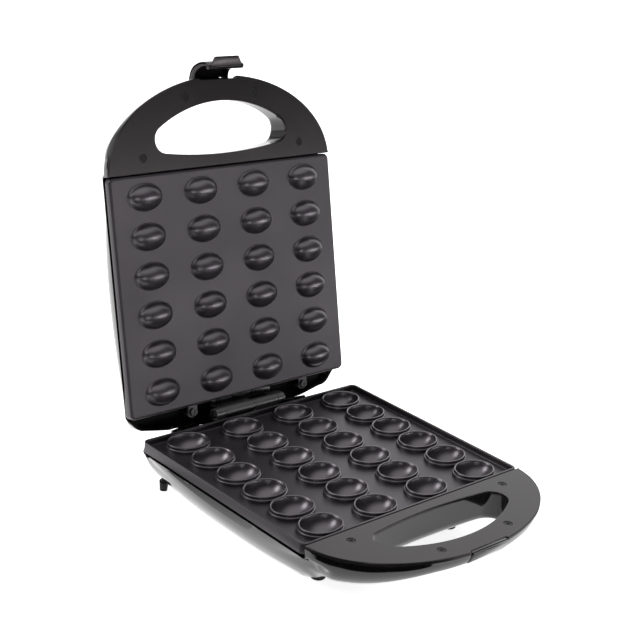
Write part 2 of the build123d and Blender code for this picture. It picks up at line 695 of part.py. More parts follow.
with BuildPart() as lid_wiring:
    add(lead(LID, [(-57.5, 99.5, 11.55), (-57.5, 99.5, 32), (-9, 99.5, 32), (-9, -40, 32)], 6.0,
             1.2, start_at(LID, (-57.5, 99.5, 11.55), (0, 0, 1))))
    add(lead(LID, [(57.5, 99.5, 11.55), (57.5, 99.5, 32), (9, 99.5, 32), (9, -40, 32)], 6.0,
             1.2, start_at(LID, (57.5, 99.5, 11.55), (0, 0, 1))))
lid_wiring.part.label = "lid_wiring"

with BuildPart() as lamp_lenses:
    for x in LAMP_X:
        add(post(LID, x, LAMP_Y, 3.55, 44.0, SHELL_DEPTH + 0.5))
        add(post(LID, x, LAMP_Y, 4.6, SHELL_DEPTH, SHELL_DEPTH + 0.9))
lamp_lenses.part.label = "lamp_lenses"

with BuildPart() as lamp_bodies:
    for x in LAMP_X:
        add(post(LID, x, LAMP_Y, 3.0, 34.0, 44.0))
lamp_bodies.part.label = "lamp_bodies"

# latch: curved hood with end cheeks, rolled lip and thumb tab
HOOD_OUT = [(-174.2, 18.0), (-179.6, 15.6), (-182.9, 12.7), (-185.2, 9.4), (-186.6, 5.6),
            (-187.6, 1.0), (-187.8, -3.4), (-186.8, -7.4), (-185.2, -10.1)]
HOOD_IN = [(-180.8, -9.2), (-183.7, -7.9), (-185.3, -5.2), (-185.7, -3.0), (-185.5, 1.2),
           (-184.5, 5.2), (-183.2, 8.6), (-181.2, 11.5), (-178.4, 14.0), (-174.6, 15.9)]
with BuildPart() as latch_tab:
    with BuildSketch(along(LID, -18.4)):
        with BuildLine():
            Polyline((-183.4, -12.1), (-194.9, -16.3), (-195.6, -14.5), (-184.6, -8.4), close=True)
        make_face()
    extrude(amount=36.8)
    with BuildSketch(level(LID, -30.0)):
        with BuildLine():
            Polyline((-18.4, -182.0), (-18.4, -184.6), (-11.6, -196.0), (11.6, -196.0),
                     (18.4, -184.6), (18.4, -182.0), close=True)
        make_face()
    extrude(amount=40.0, mode=Mode.INTERSECT)
with BuildPart() as latch:
    with BuildSketch(along(LID, -18.4)):
        with BuildLine():
            Spline(*HOOD_OUT)
            Line(HOOD_OUT[-1], HOOD_IN[0])
            Spline(*HOOD_IN)
            Line(HOOD_IN[-1], HOOD_OUT[0])
        make_face()
    extrude(amount=36.8)
    # rolled lip
    add(rod(LID, -182.9, -10.1, 2.3, -18.4, 18.4))
    # barrel on the pin, joined to the foot of the hood
    add(rod(LID, PIVOT_Y, PIVOT_D, 3.8, -12.6, 12.6))
    with BuildSketch(along(LID, -12.6)):
        with BuildLine():
            Polyline((-169.6, 17.2), (-174.3, 17.8), (-174.9, 15.6), (-172.4, 13.0), close=True)
        make_face()
    extrude(amount=25.2)
    for x in (-18.4, 16.4):
        with BuildSketch(along(LID, x)):
            with Locations((PIVOT_Y, PIVOT_D)):
                Circle(4.0)
            with BuildLine():
                Polyline((PIVOT_Y, PIVOT_D - 4.0), (-174.2, 10.2), (-178.6, 8.6), (-181.8, 4.4),
                         (-183.8, -1.0), (-184.2, -7.0), (-186.8, -7.4), (-187.3, 1.0),
                         (-186.3, 5.6), (-184.9, 9.4), (-182.6, 12.5), (-179.4, 15.3),
                         (-174.2, 17.9), (PIVOT_Y, PIVOT_D + 4.0), close=True)
            make_face()
        extrude(amount=2.0)
    add(latch_tab.part)
    add(rod(LID, PIVOT_Y, PIVOT_D, 1.55, -20, 20), mode=Mode.SUBTRACT)
latch.part.label = "latch"

with BuildPart() as latch_pin:
    add(rod(LID, PIVOT_Y, PIVOT_D, 1.45, -18.9, 18.9))
latch_pin.part.label = "latch_pin"

PARTS = [base_shell, base_handle_plate, base_handle_screws, lower_cooking_plate,
         lower_plate_screws, latch_catch, front_feet, rear_feet, lower_heating_element,
         lower_element_clips, lower_clip_screws, lower_heat_reflector, lower_reflector_screws,
         base_hinge_bracket, base_hinge_screws, hinge_pin, cord_inlet_bush, thermostat,
         thermal_fuse, terminal_block, base_wiring, lid_shell, lid_handle_plate,
         lid_handle_screws, upper_cooking_plate, upper_plate_screws, upper_heating_element,
         upper_element_clips, upper_clip_screws, upper_heat_reflector, upper_reflector_screws,
         lid_hinge_bracket, lid_hinge_screws, lid_wiring, lamp_lenses, lamp_bodies, latch,
         latch_pin]
for piece in PARTS:
    export_step(piece.part, "parts/" + piece.part.label + ".step")
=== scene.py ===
import json
import math
import bpy
import bmesh
import numpy as np
from mathutils import Matrix, Vector
from mathutils.geometry import delaunay_2d_cdt


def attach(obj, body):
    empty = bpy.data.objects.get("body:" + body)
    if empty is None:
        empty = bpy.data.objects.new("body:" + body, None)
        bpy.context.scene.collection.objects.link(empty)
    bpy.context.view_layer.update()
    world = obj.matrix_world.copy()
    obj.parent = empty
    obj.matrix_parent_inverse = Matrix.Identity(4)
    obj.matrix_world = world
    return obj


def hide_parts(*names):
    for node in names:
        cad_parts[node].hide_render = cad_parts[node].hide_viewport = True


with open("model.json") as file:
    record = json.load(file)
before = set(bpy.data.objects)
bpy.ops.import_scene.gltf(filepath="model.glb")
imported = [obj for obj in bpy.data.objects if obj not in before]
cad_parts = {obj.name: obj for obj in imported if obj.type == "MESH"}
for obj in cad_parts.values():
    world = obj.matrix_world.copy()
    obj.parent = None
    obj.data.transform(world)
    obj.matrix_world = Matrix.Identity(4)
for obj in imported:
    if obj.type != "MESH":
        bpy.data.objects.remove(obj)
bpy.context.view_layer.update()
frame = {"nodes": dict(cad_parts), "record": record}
nodes = frame["nodes"]

# ---------------------------------------------------------------------------
# Dimensions in millimetres. Each half has a depth frame (x, y, d): x across,
# y to the rear, d away from the cooking face, 0 on the rim plane of the bowls.
# ---------------------------------------------------------------------------
RIM = 55.2
YS = -14.945
GAP = 0.4
OPEN = math.radians(104.31)
CO, SO = math.cos(OPEN), math.sin(OPEN)
HY, HZ = 111.77, -0.69

PX, PY, PR = 119.6, 100.05, 5.0
SKIRT, FLOOR, WEB = 9.4, 5.2, 3.0
PITCH_X, PITCH_Y = 57.5, 32.6
HA, HB, HCY = 119.6, 78.2, -97.75
H_REAR = -100.65
SEAT = 2.6
TUB_RIM = 12.9
TUB_X = 117.2
WALL = 2.5
SCREWS = [(-37.4, -159.85), (37.4, -159.85), (-84.8, -113.2), (84.8, -113.2)]
EARS = (-51.75, 74.75)
EAR_Y = 107.0
WELLS = [((i - 1.5) * PITCH_X, (2.5 - j) * PITCH_Y) for j in range(6) for i in range(4)]


def to_base(P):
    P = np.asarray(P, float)
    return np.stack([P[:, 0], P[:, 1] + YS, RIM - P[:, 2]], 1) / 1000.0


def to_lid(P):
    P = np.asarray(P, float)
    dy, dz = P[:, 1] - HY, P[:, 2] + GAP - HZ
    return np.stack([P[:, 0], dy * CO + dz * SO + HY + YS,
                     -dy * SO + dz * CO + HZ + RIM], 1) / 1000.0


# ---------------------------------------------------------------------------
# Housing surface as depth over the plan
# ---------------------------------------------------------------------------
def smin(a, b, k):
    h = np.clip(0.5 + 0.5 * (b - a) / k, 0, 1)
    return b * (1 - h) + a * h - k * h * (1 - h)


def sstep(a, b, x):
    t = np.clip((x - a) / (b - a), 0, 1)
    return t * t * (3 - 2 * t)


def plan_outline():
    R = (106.5 ** 2 + 12.4 ** 2) / (2 * 12.4)
    xs = np.linspace(106.5, -106.5, 300)
    P = [(x, 125.0 - (R - math.sqrt(R * R - x * x))) for x in xs]
    P += [(-106.5 - 13.1 * t, 112.6 - 13.7 * t) for t in np.linspace(0, 1, 40)[1:]]
    P += [(-119.6, y) for y in np.linspace(98.9, HCY, 300)[1:]]
    P += [(HA * math.cos(t), HCY + HB * math.sin(t))
          for t in np.linspace(math.pi, 2 * math.pi, 900)[1:]]
    P += [(119.6, y) for y in np.linspace(HCY, 98.9, 300)[1:]]
    P += [(119.6 - 13.1 * t, 98.9 + 13.7 * t) for t in np.linspace(0, 1, 40)[1:-1]]
    P = np.array(P)
    C = np.r_[P, P[:1]]
    s = np.r_[0, np.cumsum(np.linalg.norm(np.diff(C, axis=0), axis=1))]
    n = 3000
    q = np.linspace(0, s[-1], n, endpoint=False)
    Q = np.stack([np.interp(q, s, C[:, i]) for i in (0, 1)], 1)
    ds = s[-1] / n
    m = int(12.0 / ds) + 1
    k = np.exp(-0.5 * (np.arange(-m, m + 1) * ds / 3.0) ** 2)
    k /= k.sum()
    return np.stack([np.convolve(np.r_[Q[-m:, i], Q[:, i], Q[:m, i]], k, "valid")
                     for i in (0, 1)], 1)


OUTS = plan_outline()


def near(P, Q):
    """Distance from each point of P to the nearest point of Q."""
    P = np.atleast_2d(P)
    d = np.empty(len(P))
    for i in range(0, len(P), 1500):
        a = P[i:i + 1500]
        d[i:i + 1500] = np.sqrt(((a[:, None, :] - Q[None, :, :]) ** 2).sum(2).min(1))
    return d


CK = np.array([(-160.35, 15.6), (-150, 17.0), (-138, 19.5), (-124, 22.8), (-110, 27.6),
               (-100, 33.2), (-92, 39.0), (-82, 44.2), (-72, 47.2), (-60, 47.7)])


def length_profile(y):
    ys, ds = CK[:, 0], CK[:, 1]
    h = np.diff(ys)
    dl = np.diff(ds) / h
    m = np.zeros(len(ys))
    m[1:-1] = np.where(dl[:-1] * dl[1:] > 0, 2 * dl[:-1] * dl[1:] / (dl[:-1] + dl[1:]), 0)
    m[0] = 0.08
    i = np.clip(np.searchsorted(ys, y) - 1, 0, len(h) - 1)
    t = np.clip((y - ys[i]) / h[i], 0, 1)
    return ((2 * t ** 3 - 3 * t ** 2 + 1) * ds[i] + (t ** 3 - 2 * t ** 2 + t) * h[i] * m[i]
            + (-2 * t ** 3 + 3 * t ** 2) * ds[i + 1] + (t ** 3 - t ** 2) * h[i] * m[i + 1])


def rim_depth(P):
    """Depth of the free edge of the tub, lower behind the hinge."""
    P = np.atleast_2d(P)
    ax = np.abs(P[:, 0])
    low = sstep(76, 62, ax) * (P[:, 1] > 112)
    high = sstep(97, 103, ax) * (P[:, 1] > 100.2)
    return TUB_RIM + (19.0 - TUB_RIM) * low + (11.0 - TUB_RIM) * high


def housing_depth(P):
    x, y = P[:, 0], P[:, 1]
    ax = np.abs(x)
    w = near(P, OUTS)
    dl = (-0.8 + np.where(y > 0, 2.6, 3.3) * (np.abs(y) / 70) ** 2) * np.clip((117.6 - ax) / 7, 0, 1)
    dl = dl * np.where(y < HCY, sstep(-150, HCY, y), 1)
    b = -5.75 + np.sqrt(np.clip(69.0 ** 2 - np.maximum(ax + dl - 50.6, 0) ** 2, 0, None))
    b = smin(b, 47.7 + 0 * b, 4.0)
    c = length_profile(y) + 11.0 * np.clip(ax / 88, 0, 1.3) ** 3 * sstep(-105, -140, y)
    r = np.interp(ax, [0, 30, 46, 63, 77, 86, 99, 110, 118, 120],
                  [15.6, 19.5, 21, 25, 28, 30.0, 33, 38, 46, 50])
    e_front = np.where(w < r, np.sqrt(np.clip(r * r - (r - w) ** 2, 0, None)), r)
    over = np.maximum(w - r, 0)
    e_front = e_front + 3 * over * over / (over + 8.0)
    kc = sstep(45, 105, ax)
    d0 = 23.7 * (1 - kc) + 17.0 * kc
    rr = 24.0 * (1 - kc) + 33.0 * kc
    e_rear = d0 + np.where(w < rr, np.sqrt(np.clip(rr * rr - (rr - w) ** 2, 0, None)), rr) + np.maximum(w - rr, 0) * 3
    t = sstep(60, 100, y)
    s = sstep(HCY, -40, y)
    e_side = np.where(y > HCY, e_front * (1 - s) + 70 * s, e_front)
    e_side = e_side + 34.0 * sstep(13.0, 32.0, w) * sstep(-110, -86, y)
    e = np.where(y > 0, e_side * (1 - t) + e_rear * t, e_side)
    h = smin(smin(b, c, 5.0), e, 5.0)
    return h + 1.25 * sstep(40, 46.4, h)


# ---------------------------------------------------------------------------
# Plan loops
# ---------------------------------------------------------------------------
def resample(P, step, closed=False):
    P = np.asarray(P, float)
    C = np.r_[P, P[:1]] if closed else P
    s = np.r_[0, np.cumsum(np.linalg.norm(np.diff(C, axis=0), axis=1))]
    n = max(2, int(round(s[-1] / step)))
    q = np.linspace(0, s[-1], n, endpoint=False) if closed else np.linspace(0, s[-1], n + 1)
    return np.stack([np.interp(q, s, C[:, i]) for i in (0, 1)], 1)


def area(P):
    x, y = P[:, 0], P[:, 1]
    return 0.5 * float(np.sum(x * np.roll(y, -1) - y * np.roll(x, -1)))


def left_normals(P, closed=True):
    """Unit normals to the left of the direction of travel."""
    if closed:
        t = np.roll(P, -1, 0) - np.roll(P, 1, 0)
    else:
        t = np.gradient(P, axis=0)
    t = t / np.linalg.norm(t, axis=1)[:, None]
    return np.stack([-t[:, 1], t[:, 0]], 1)


def opening_loop(step=2.2):
    """Finger opening: two circles in common, tips rounded."""
    c1, r1 = np.array([0.0, -530.6]), 420.0
    c2, r2 = np.array([0.0, -29.0]), 125.7
    rf = 11.5
    a, b = r1 - rf, r2 - rf
    dist = c2[1] - c1[1]
    yy = (a * a - b * b + dist * dist) / (2 * dist)
    fx = math.sqrt(a * a - yy * yy)
    f = np.array([fx, c1[1] + yy])
    t1 = c1 + (f - c1) / a * r1
    t2 = c2 + (f - c2) / b * r2
    a1 = math.atan2(t1[1] - c1[1], t1[0] - c1[0])
    a2 = math.atan2(t2[1] - c2[1], t2[0] - c2[0])
    th = np.linspace(a1, math.pi - a1, 200)
    upper = np.stack([c1[0] + r1 * np.cos(th), c1[1] + r1 * np.sin(th)], 1)
    th = np.linspace(-math.pi - a2, a2, 200)
    lower = np.stack([c2[0] + r2 * np.cos(th), c2[1] + r2 * np.sin(th)], 1)
    b1 = math.atan2(t1[1] - f[1], t1[0] - f[0])
    b2 = math.atan2(t2[1] - f[1], t2[0] - f[0])
    th = np.linspace(b2, b1, 60)
    right = np.stack([f[0] + rf * np.cos(th), f[1] + rf * np.sin(th)], 1)
    left = right[::-1] * np.array([-1, 1])
    P = np.r_[upper, left[1:], lower[1:], right[1:-1]]
    return resample(P, step, True)


OPENING = opening_loop()
if area(OPENING) < 0:
    OPENING = OPENING[::-1].copy()


def inside(pts, loop):
    x, y = pts[:, 0], pts[:, 1]
    r = np.zeros(len(pts), bool)
    X0, Y0 = loop[:, 0], loop[:, 1]
    X1, Y1 = np.roll(X0, -1), np.roll(Y0, -1)
    for i in range(0, len(pts), 4000):
        a, b = x[i:i + 4000, None], y[i:i + 4000, None]
        cross = (Y0 > b) != (Y1 > b)
        with np.errstate(divide="ignore", invalid="ignore"):
            xi = X0 + (b - Y0) * (X1 - X0) / (Y1 - Y0)
        r[i:i + 4000] = (np.where(cross, a < xi, False)).sum(1) % 2 == 1
    return r


def triangulate(loops, chains=(), points=()):
    """Triangles inside the first loop and outside the others."""
    V, E = [], []
    for L in loops:
        n0 = len(V)
        V += [tuple(p) for p in L]
        E += [(n0 + i, n0 + (i + 1) % len(L)) for i in range(len(L))]
    for ch, keep in chains:
        idx = [-1] * len(ch)
        for i, (p, k) in enumerate(zip(ch, keep)):
            if k:
                idx[i] = len(V)
                V.append(tuple(p))
        for i in range(len(ch) - 1):
            if idx[i] >= 0 and idx[i + 1] >= 0:
                E.append((idx[i], idx[i + 1]))
    V += [tuple(p) for p in points]
    vo, _, fo, _, _, _ = delaunay_2d_cdt([Vector(p) for p in V], E, [], 0, 1e-5, True)
    W = np.array([(v[0], v[1]) for v in vo])
    T = np.array([f for f in fo], int)
    c = W[T].mean(1)
    ok = inside(c, np.asarray(loops[0]))
    for L in loops[1:]:
        ok &= ~inside(c, np.asarray(L))
    T = T[ok]
    used = np.unique(T)
    m = -np.ones(len(W), int)
    m[used] = np.arange(len(used))
    return W[used], m[T]


class Body:
    """Vertices (x, y, d) and faces of one piece in its depth frame."""

    def __init__(self):
        self.v, self.f, self.m = [], [], []
        self.n = 0

    def add(self, P, F, mat=0):
        P = np.asarray(P, float)
        self.v.append(P)
        for f in F:
            self.f.append(tuple(int(i) + self.n for i in f))
            self.m.append(mat)
        self.n += len(P)

    def cap(self, loops, d, mat=0):
        W, T = triangulate(loops)
        self.add(np.c_[W, np.full(len(W), d)], T, mat)

    def strip(self, rings, mat=0, closed=True):
        """Quads between successive rings of equal length."""
        k = len(rings[0])
        P = np.concatenate([np.asarray(r, float) for r in rings])
        F = []
        for j in range(len(rings) - 1):
            for i in range(k if closed else k - 1):
                a, b = j * k + i, j * k + (i + 1) % k
                F.append((a, b, b + k, a + k))
        self.add(P, F, mat)

    def ring3(self, L, d):
        L = np.asarray(L, float)
        return np.c_[L, np.broadcast_to(d, len(L))]

    def build(self, name, place, sharp=28, weld=2.0e-6):
        P = place(np.concatenate(self.v))
        me = bpy.data.meshes.new(name)
        me.from_pydata([tuple(p) for p in P], [], self.f)
        for p, m in zip(me.polygons, self.m):
            p.material_index = m
        bm = bmesh.new()
        bm.from_mesh(me)
        bmesh.ops.remove_doubles(bm, verts=bm.verts, dist=weld)
        bmesh.ops.dissolve_degenerate(bm, edges=bm.edges, dist=weld)
        bmesh.ops.recalc_face_normals(bm, faces=bm.faces)
        bm.to_mesh(me)
        bad = sum(1 for e in bm.edges if not e.is_manifold)
        bm.free()
        if bad:
            print("open edges", name, bad)
        ob = bpy.data.objects.new(name, me)
        bpy.context.scene.collection.objects.link(ob)
        soften(ob, sharp)
        return ob


def soften(ob, sharp):
    me = ob.data
    me.polygons.foreach_set("use_smooth", [True] * len(me.polygons))
    me.set_sharp_from_angle(angle=math.radians(sharp))
    me.update()


def crisp(ob, place):
    """Creases round the faces that lie square to the depth axis, so they shade flat."""
    a, b = place([(0.0, 0.0, 0.0), (0.0, 0.0, 1000.0)])
    axis = Vector(b - a).normalized()
    bm = bmesh.new()
    bm.from_mesh(ob.data)
    bm.normal_update()
    flat = [abs(f.normal.dot(axis)) > 0.99999 for f in bm.faces]
    for e in bm.edges:
        k = [flat[f.index] for f in e.link_faces]
        if len(k) == 2 and k[0] != k[1]:
            e.smooth = False
    bm.to_mesh(ob.data)
    bm.free()


def cut(ob, *cutters):
    """Removes closed cutter objects from a piece, exactly."""
    for c in cutters:
        m = ob.modifiers.new("cut", "BOOLEAN")
        m.operation = "DIFFERENCE"
        m.solver = "EXACT"
        m.object = c
        dg = bpy.context.evaluated_depsgraph_get()
        me = bpy.data.meshes.new_from_object(ob.evaluated_get(dg))
        ob.modifiers.clear()
        old = ob.data
        ob.data = me
        bpy.data.meshes.remove(old)
        bpy.data.objects.remove(c)


def box_cutter(x0, x1, y0, y1, d0, d1, place):
    b = Body()
    P = [(x, y, d) for d in (d0, d1) for y in (y0, y1) for x in (x0, x1)]
    b.add(P, [(0, 1, 3, 2), (4, 6, 7, 5), (0, 4, 5, 1), (2, 3, 7, 6), (0, 2, 6, 4), (1, 5, 7, 3)])
    return b.build("cutter", place)


def ellipse(cx, cy, a, b, n=72):
    t = np.linspace(0, 2 * math.pi, n, endpoint=False)
    return np.stack([cx + a * np.cos(t), cy + b * np.sin(t)], 1)


def round_rect(hx, hy, r, arc=8, step=12.0):
    P = []
    for sx, sy, a0 in ((1, 1, 0), (-1, 1, 90), (-1, -1, 180), (1, -1, 270)):
        for k in range(arc + 1):
            a = math.radians(a0 + 90.0 * k / arc)
            P.append((sx * (hx - r) + r * math.cos(a), sy * (hy - r) + r * math.sin(a)))
        nx, ny = {0: (-1, 1), 90: (-1, -1), 180: (1, -1), 270: (1, 1)}[a0]
        x0, y0 = P[-1]
        if a0 in (0, 180):
            x1, y1 = nx * (hx - r), y0
        else:
            x1, y1 = x0, ny * (hy - r)
        n = 8
        for k in range(1, n):
            P.append((x0 + (x1 - x0) * k / n, y0 + (y1 - y0) * k / n))
    return np.array(P)


# ---------------------------------------------------------------------------
# Housing
# ---------------------------------------------------------------------------
def housing_body():
    B = Body()
    ystep = math.asin((H_REAR - HCY) / HB)
    th = np.linspace(math.pi - ystep, 2 * math.pi + ystep, 1200)
    arc = resample(np.stack([HA * np.cos(th), HCY + HB * np.sin(th)], 1), 2.6)
    arc[0, 1] = arc[-1, 1] = H_REAR
    xe = arc[-1, 0]
    stepx = np.array([xe - 0.12, xe - 0.35, xe - 0.7, xe - 1.15, xe - 1.6])
    # right side, rear, left side
    i0 = np.argmax(OUTS[:, 0] > 119)
    keep = OUTS[OUTS[:, 1] > H_REAR + 0.5]
    ang = np.unwrap(np.arctan2(keep[:, 1], keep[:, 0]))
    keep = keep[np.argsort(np.arctan2(keep[:, 1] + 20, keep[:, 0]) % (2 * math.pi))]
    a = np.arctan2(keep[:, 1] + 101, keep[:, 0])
    keep = keep[np.argsort(a)]
    keep = np.stack([np.clip(keep[:, 0], -TUB_X, TUB_X), keep[:, 1]], 1)
    tub = np.r_[[(TUB_X, H_REAR)], keep, [(-TUB_X, H_REAR)]]
    tub = resample(tub, 2.9)
    tub[0] = (TUB_X, H_REAR)
    tub[-1] = (-TUB_X, H_REAR)
    right_step = np.stack([stepx, np.full(5, H_REAR)], 1)
    left_step = right_step[::-1] * np.array([-1, 1])
    loop = np.r_[arc, right_step, tub, left_step]
    dense = resample(loop, 0.35, True)

    W_OUT = [.06, .25, .6, 1.1, 1.8, 2.7, 3.8, 5.2, 7, 9.3, 12, 15.3, 19.2, 24, 30]
    W_IN = [.06, .25, .6, 1.1, 1.8, 2.7, 3.9, 5.3, 7.0, 9.0]
    hole = OPENING
    hdense = resample(hole, 0.35, True)
    chains, cloud = [], [loop, hole]
    for base, closed in ((arc, False), (tub, False)):
        nrm = left_normals(base, closed)
        for w in W_OUT:
            q = base + nrm * w
            k = (near(q, dense) > 0.97 * w) & inside(q, loop) & ~inside(q, hole)
            k &= near(q, hdense) > (9.6 if w > 1 else 1.0)
            chains.append((q, k))
            cloud.append(q[k])
    nrm = -left_normals(hole, True)
    for w in W_IN:
        q = hole + nrm * w
        k = (near(q, hdense) > 0.97 * w) & (near(q, dense) > 2.0)
        q2, k2 = np.r_[q, q[:1]], np.r_[k, False]
        chains.append((q, k))
        cloud.append(q[k])
    cloud = np.concatenate(cloud)
    gx, gy = np.meshgrid(np.arange(-116, 117, 4.0), np.arange(-172, 118, 4.0))
    G = np.stack([gx.ravel() + (np.arange(gx.size) // gx.shape[1] % 2) * 2.0, gy.ravel()], 1)
    G = G[inside(G, loop) & ~inside(G, hole)]
    G = G[near(G, cloud) > 2.4]
    W, T = triangulate([loop, hole], chains, G)

    h = housing_depth(W)
    # underside rolls up into the walls of the opening
    wo = near(W, hdense)
    wo = np.where(near(W, hole) < 0.01, 0.0, wo)
    R_O = 7.0
    z = np.where(wo < R_O, h - R_O + np.sqrt(np.clip(R_O ** 2 - (R_O - wo) ** 2, 0, None)), h)
    in_tub = W[:, 1] > H_REAR + 0.01
    z = np.where(in_tub, np.maximum(z, rim_depth(W)), np.maximum(z, SEAT))
    on_loop = near(W, tub) < 1e-4
    ends = near(W, np.array([tub[0], tub[-1]])) < 1e-4
    z = np.where(on_loop, np.maximum(z, rim_depth(W)), z)
    z = np.where(ends, TUB_RIM, z)
    side = on_loop & (W[:, 1] < 60)
    z = np.where(side, TUB_RIM, z)
    B.add(np.c_[W, z], T)

    def depth_at(L):
        d = np.empty(len(L))
        for i, p in enumerate(L):
            d[i] = z[np.argmin(((W - p) ** 2).sum(1))]
        return d

    # walls of the opening, seat, front wall of the tub, rim, inside
    zo = depth_at(hole)
    B.strip([B.ring3(hole, SEAT), np.c_[hole, SEAT + (zo - SEAT) * 0.5], np.c_[hole, zo]])
    B.cap([arc, hole], SEAT)
    right = [(p[0], H_REAR, d) for p, d in zip(right_step, depth_at(right_step))]
    left = [(p[0], H_REAR, d) for p, d in zip(left_step, depth_at(left_step))]
    gon = [(arc[0, 0], H_REAR, SEAT), (arc[-1, 0], H_REAR, SEAT)] + right
    gon += [(TUB_X, H_REAR, TUB_RIM), (-TUB_X, H_REAR, TUB_RIM)] + left
    B.add(gon, [tuple(range(len(gon)))])
    zt = depth_at(tub)
    B.strip([np.c_[tub, rim_depth(tub)], np.c_[tub, zt]], closed=False)
    inner_src = resample(np.r_[tub, [tub[0]]], 0.5)
    inner = tub + left_normals(tub, False) * WALL
    inner = inner[(inner[:, 1] > H_REAR + WALL + 1) & (near(inner, inner_src) > WALL * 0.98)]
    inner = np.r_[[(TUB_X - WALL, H_REAR + WALL)], inner, [(-TUB_X + WALL, H_REAR + WALL)]]
    W3, T3 = triangulate([tub, inner])
    B.add(np.c_[W3, rim_depth(W3)], T3, 1)
    gx, gy = np.meshgrid(np.arange(-108, 109, 8.0), np.arange(-92, 112, 8.0))
    G = np.stack([gx.ravel(), gy.ravel()], 1)
    G = G[inside(G, inner)]
    G = G[near(G, inner) > 4]
    W2, T2 = triangulate([inner], (), G)
    def floor_depth(P):
        k = [housing_depth(P + 6.5 * np.array([math.cos(t), math.sin(t)]))
             for t in np.linspace(0, 2 * math.pi, 12, endpoint=False)]
        return np.maximum(np.minimum(np.min(k, axis=0), housing_depth(P)) - WALL, rim_depth(P) + 1)

    z2 = floor_depth(W2)
    B.add(np.c_[W2, z2], T2, 1)
    zi = floor_depth(inner)
    B.strip([np.c_[inner, rim_depth(inner)], np.c_[inner, zi]], 1)
    return B


def tube_body(B, x, y, r, d0, d1, n=40, bevel=0.4):
    B.strip([B.ring3(ellipse(x, y, r - bevel, r - bevel, n), d0),
             B.ring3(ellipse(x, y, r, r, n), d0 + bevel),
             B.ring3(ellipse(x, y, r, r, n), d1 - bevel),
             B.ring3(ellipse(x, y, r - bevel, r - bevel, n), d1)])
    B.add(B.ring3(ellipse(x, y, r - bevel, r - bevel, n), d0), [tuple(range(n))])
    B.add(B.ring3(ellipse(x, y, r - bevel, r - bevel, n), d1), [tuple(range(n))])


def rear_shelf():
    """Shelf and screw posts behind the cooking plate."""
    S = Body()
    edge = OUTS[OUTS[:, 1] > 90.0]
    edge = edge[np.argsort(np.arctan2(edge[:, 1], edge[:, 0]))]
    edge = edge + left_normals(edge, False) * 1.4
    edge = edge[np.abs(edge[:, 0]) < 111.5]
    for y0, y1, d0, d1 in ((101.2, 117.0, 17.0, 19.0), (115.5, 126.0, 19.05, 21.0)):
        L = edge[(edge[:, 1] > y0) & (edge[:, 1] < y1)]
        right, left = L[L[:, 0] > 0], L[L[:, 0] < 0]
        if y1 < 120:
            loop = np.r_[[(right[0, 0], y0)], right, [(right[-1, 0], y1), (left[0, 0], y1)],
                         left, [(left[-1, 0], y0)]]
        else:
            loop = np.r_[[(L[0, 0], y0)], L, [(L[-1, 0], y0)]]
        S.strip([S.ring3(loop, d0), S.ring3(loop, d1)])
        S.cap([loop], d0)
        S.cap([loop], d1)
    for x in EARS:
        tube_body(S, x, EAR_Y, 4.2, 9.45, 17.5)
    return S


def sweep_x(profile, x0, x1, B, bevel=0.35, mat=0):
    """Solid along x with a (y, d) outline, its end edges rounded."""
    P = np.asarray(profile, float)
    if area(P) < 0:
        P = P[::-1].copy()
    n = left_normals(P)
    rings = []
    for x, o in ((x0, bevel), (x0 + bevel * 0.35, bevel * 0.35), (x0 + bevel, 0),
                 (x1 - bevel, 0), (x1 - bevel * 0.35, bevel * 0.35), (x1, bevel)):
        Q = P + n * o
        rings.append(np.c_[np.full(len(Q), x), Q])
    B.strip(rings, mat)
    for x in (x0, x1):
        Q = P + n * bevel
        W, T = triangulate([Q])
        B.add(np.c_[np.full(len(W), x), W], T, mat)


# ---------------------------------------------------------------------------
# Cooking plates
# ---------------------------------------------------------------------------
def stack(B, ring_of, profile, mats=None):
    rings = [ring_of(o, d) for o, d in profile]
    for j in range(len(rings) - 1):
        B.strip([rings[j], rings[j + 1]], (mats[j] if mats else 0))


def plate_edge(B, profile, shallow):
    def ring(o, d):
        L = round_rect(PX + o, PY + o, max(PR + o, 0.6))
        f = shallow + (1.0 - shallow) * sstep(86, 96, L[:, 1])
        return B.ring3(L, 4.0 + (d - 4.0) * f if d > 4.0 and o > -2.45 else d)
    stack(B, ring, profile)
    return round_rect(PX + profile[0][0], PY + profile[0][0], max(PR + profile[0][0], 0.6)), \
        round_rect(PX + profile[-1][0], PY + profile[-1][0], max(PR + profile[-1][0], 0.6))


def spheroid_rings(B, x, y, hx, hy, centre, d_from, sign, n=72, rows=14, mat=0):
    """Cap of an egg shape from depth d_from to its tip. sign +1 sinks, -1 rises."""
    s0 = abs(d_from - centre) / hy
    a0 = math.asin(min(1, s0))
    rings = []
    for a in np.linspace(a0, math.pi / 2, rows)[:-1]:
        c = math.cos(a)
        rings.append(B.ring3(ellipse(x, y, hx * c, hy * c, n), centre + sign * hy * math.sin(a)))
    B.strip(rings, mat)
    P = np.r_[rings[-1], [(x, y, centre + sign * hy)]]
    B.add(P, [(i, (i + 1) % n, n) for i in range(n)], mat)
    return rings[0]


def ears(B):
    for x in EARS:
        t = np.linspace(0, math.pi, 24)
        L = np.r_[np.stack([x + 4.95 * np.cos(t), EAR_Y + 4.95 * np.sin(t)], 1),
                  [(x - 4.95, PY - 1.2), (x + 4.95, PY - 1.2)]]
        hole = ellipse(x, EAR_Y, 1.8, 1.8, 28)
        n = left_normals(L)
        e = 0.5
        r = [B.ring3(L + n * e, 7.0), B.ring3(L + n * e * 0.3, 7.0 + e * 0.3), B.ring3(L, 7.0 + e),
             B.ring3(L, 9.4)]
        B.strip(r)
        B.cap([L + n * e, hole], 7.0)
        B.cap([L, hole], 9.4)
        B.strip([B.ring3(hole, 7.0), B.ring3(hole, 9.4)])


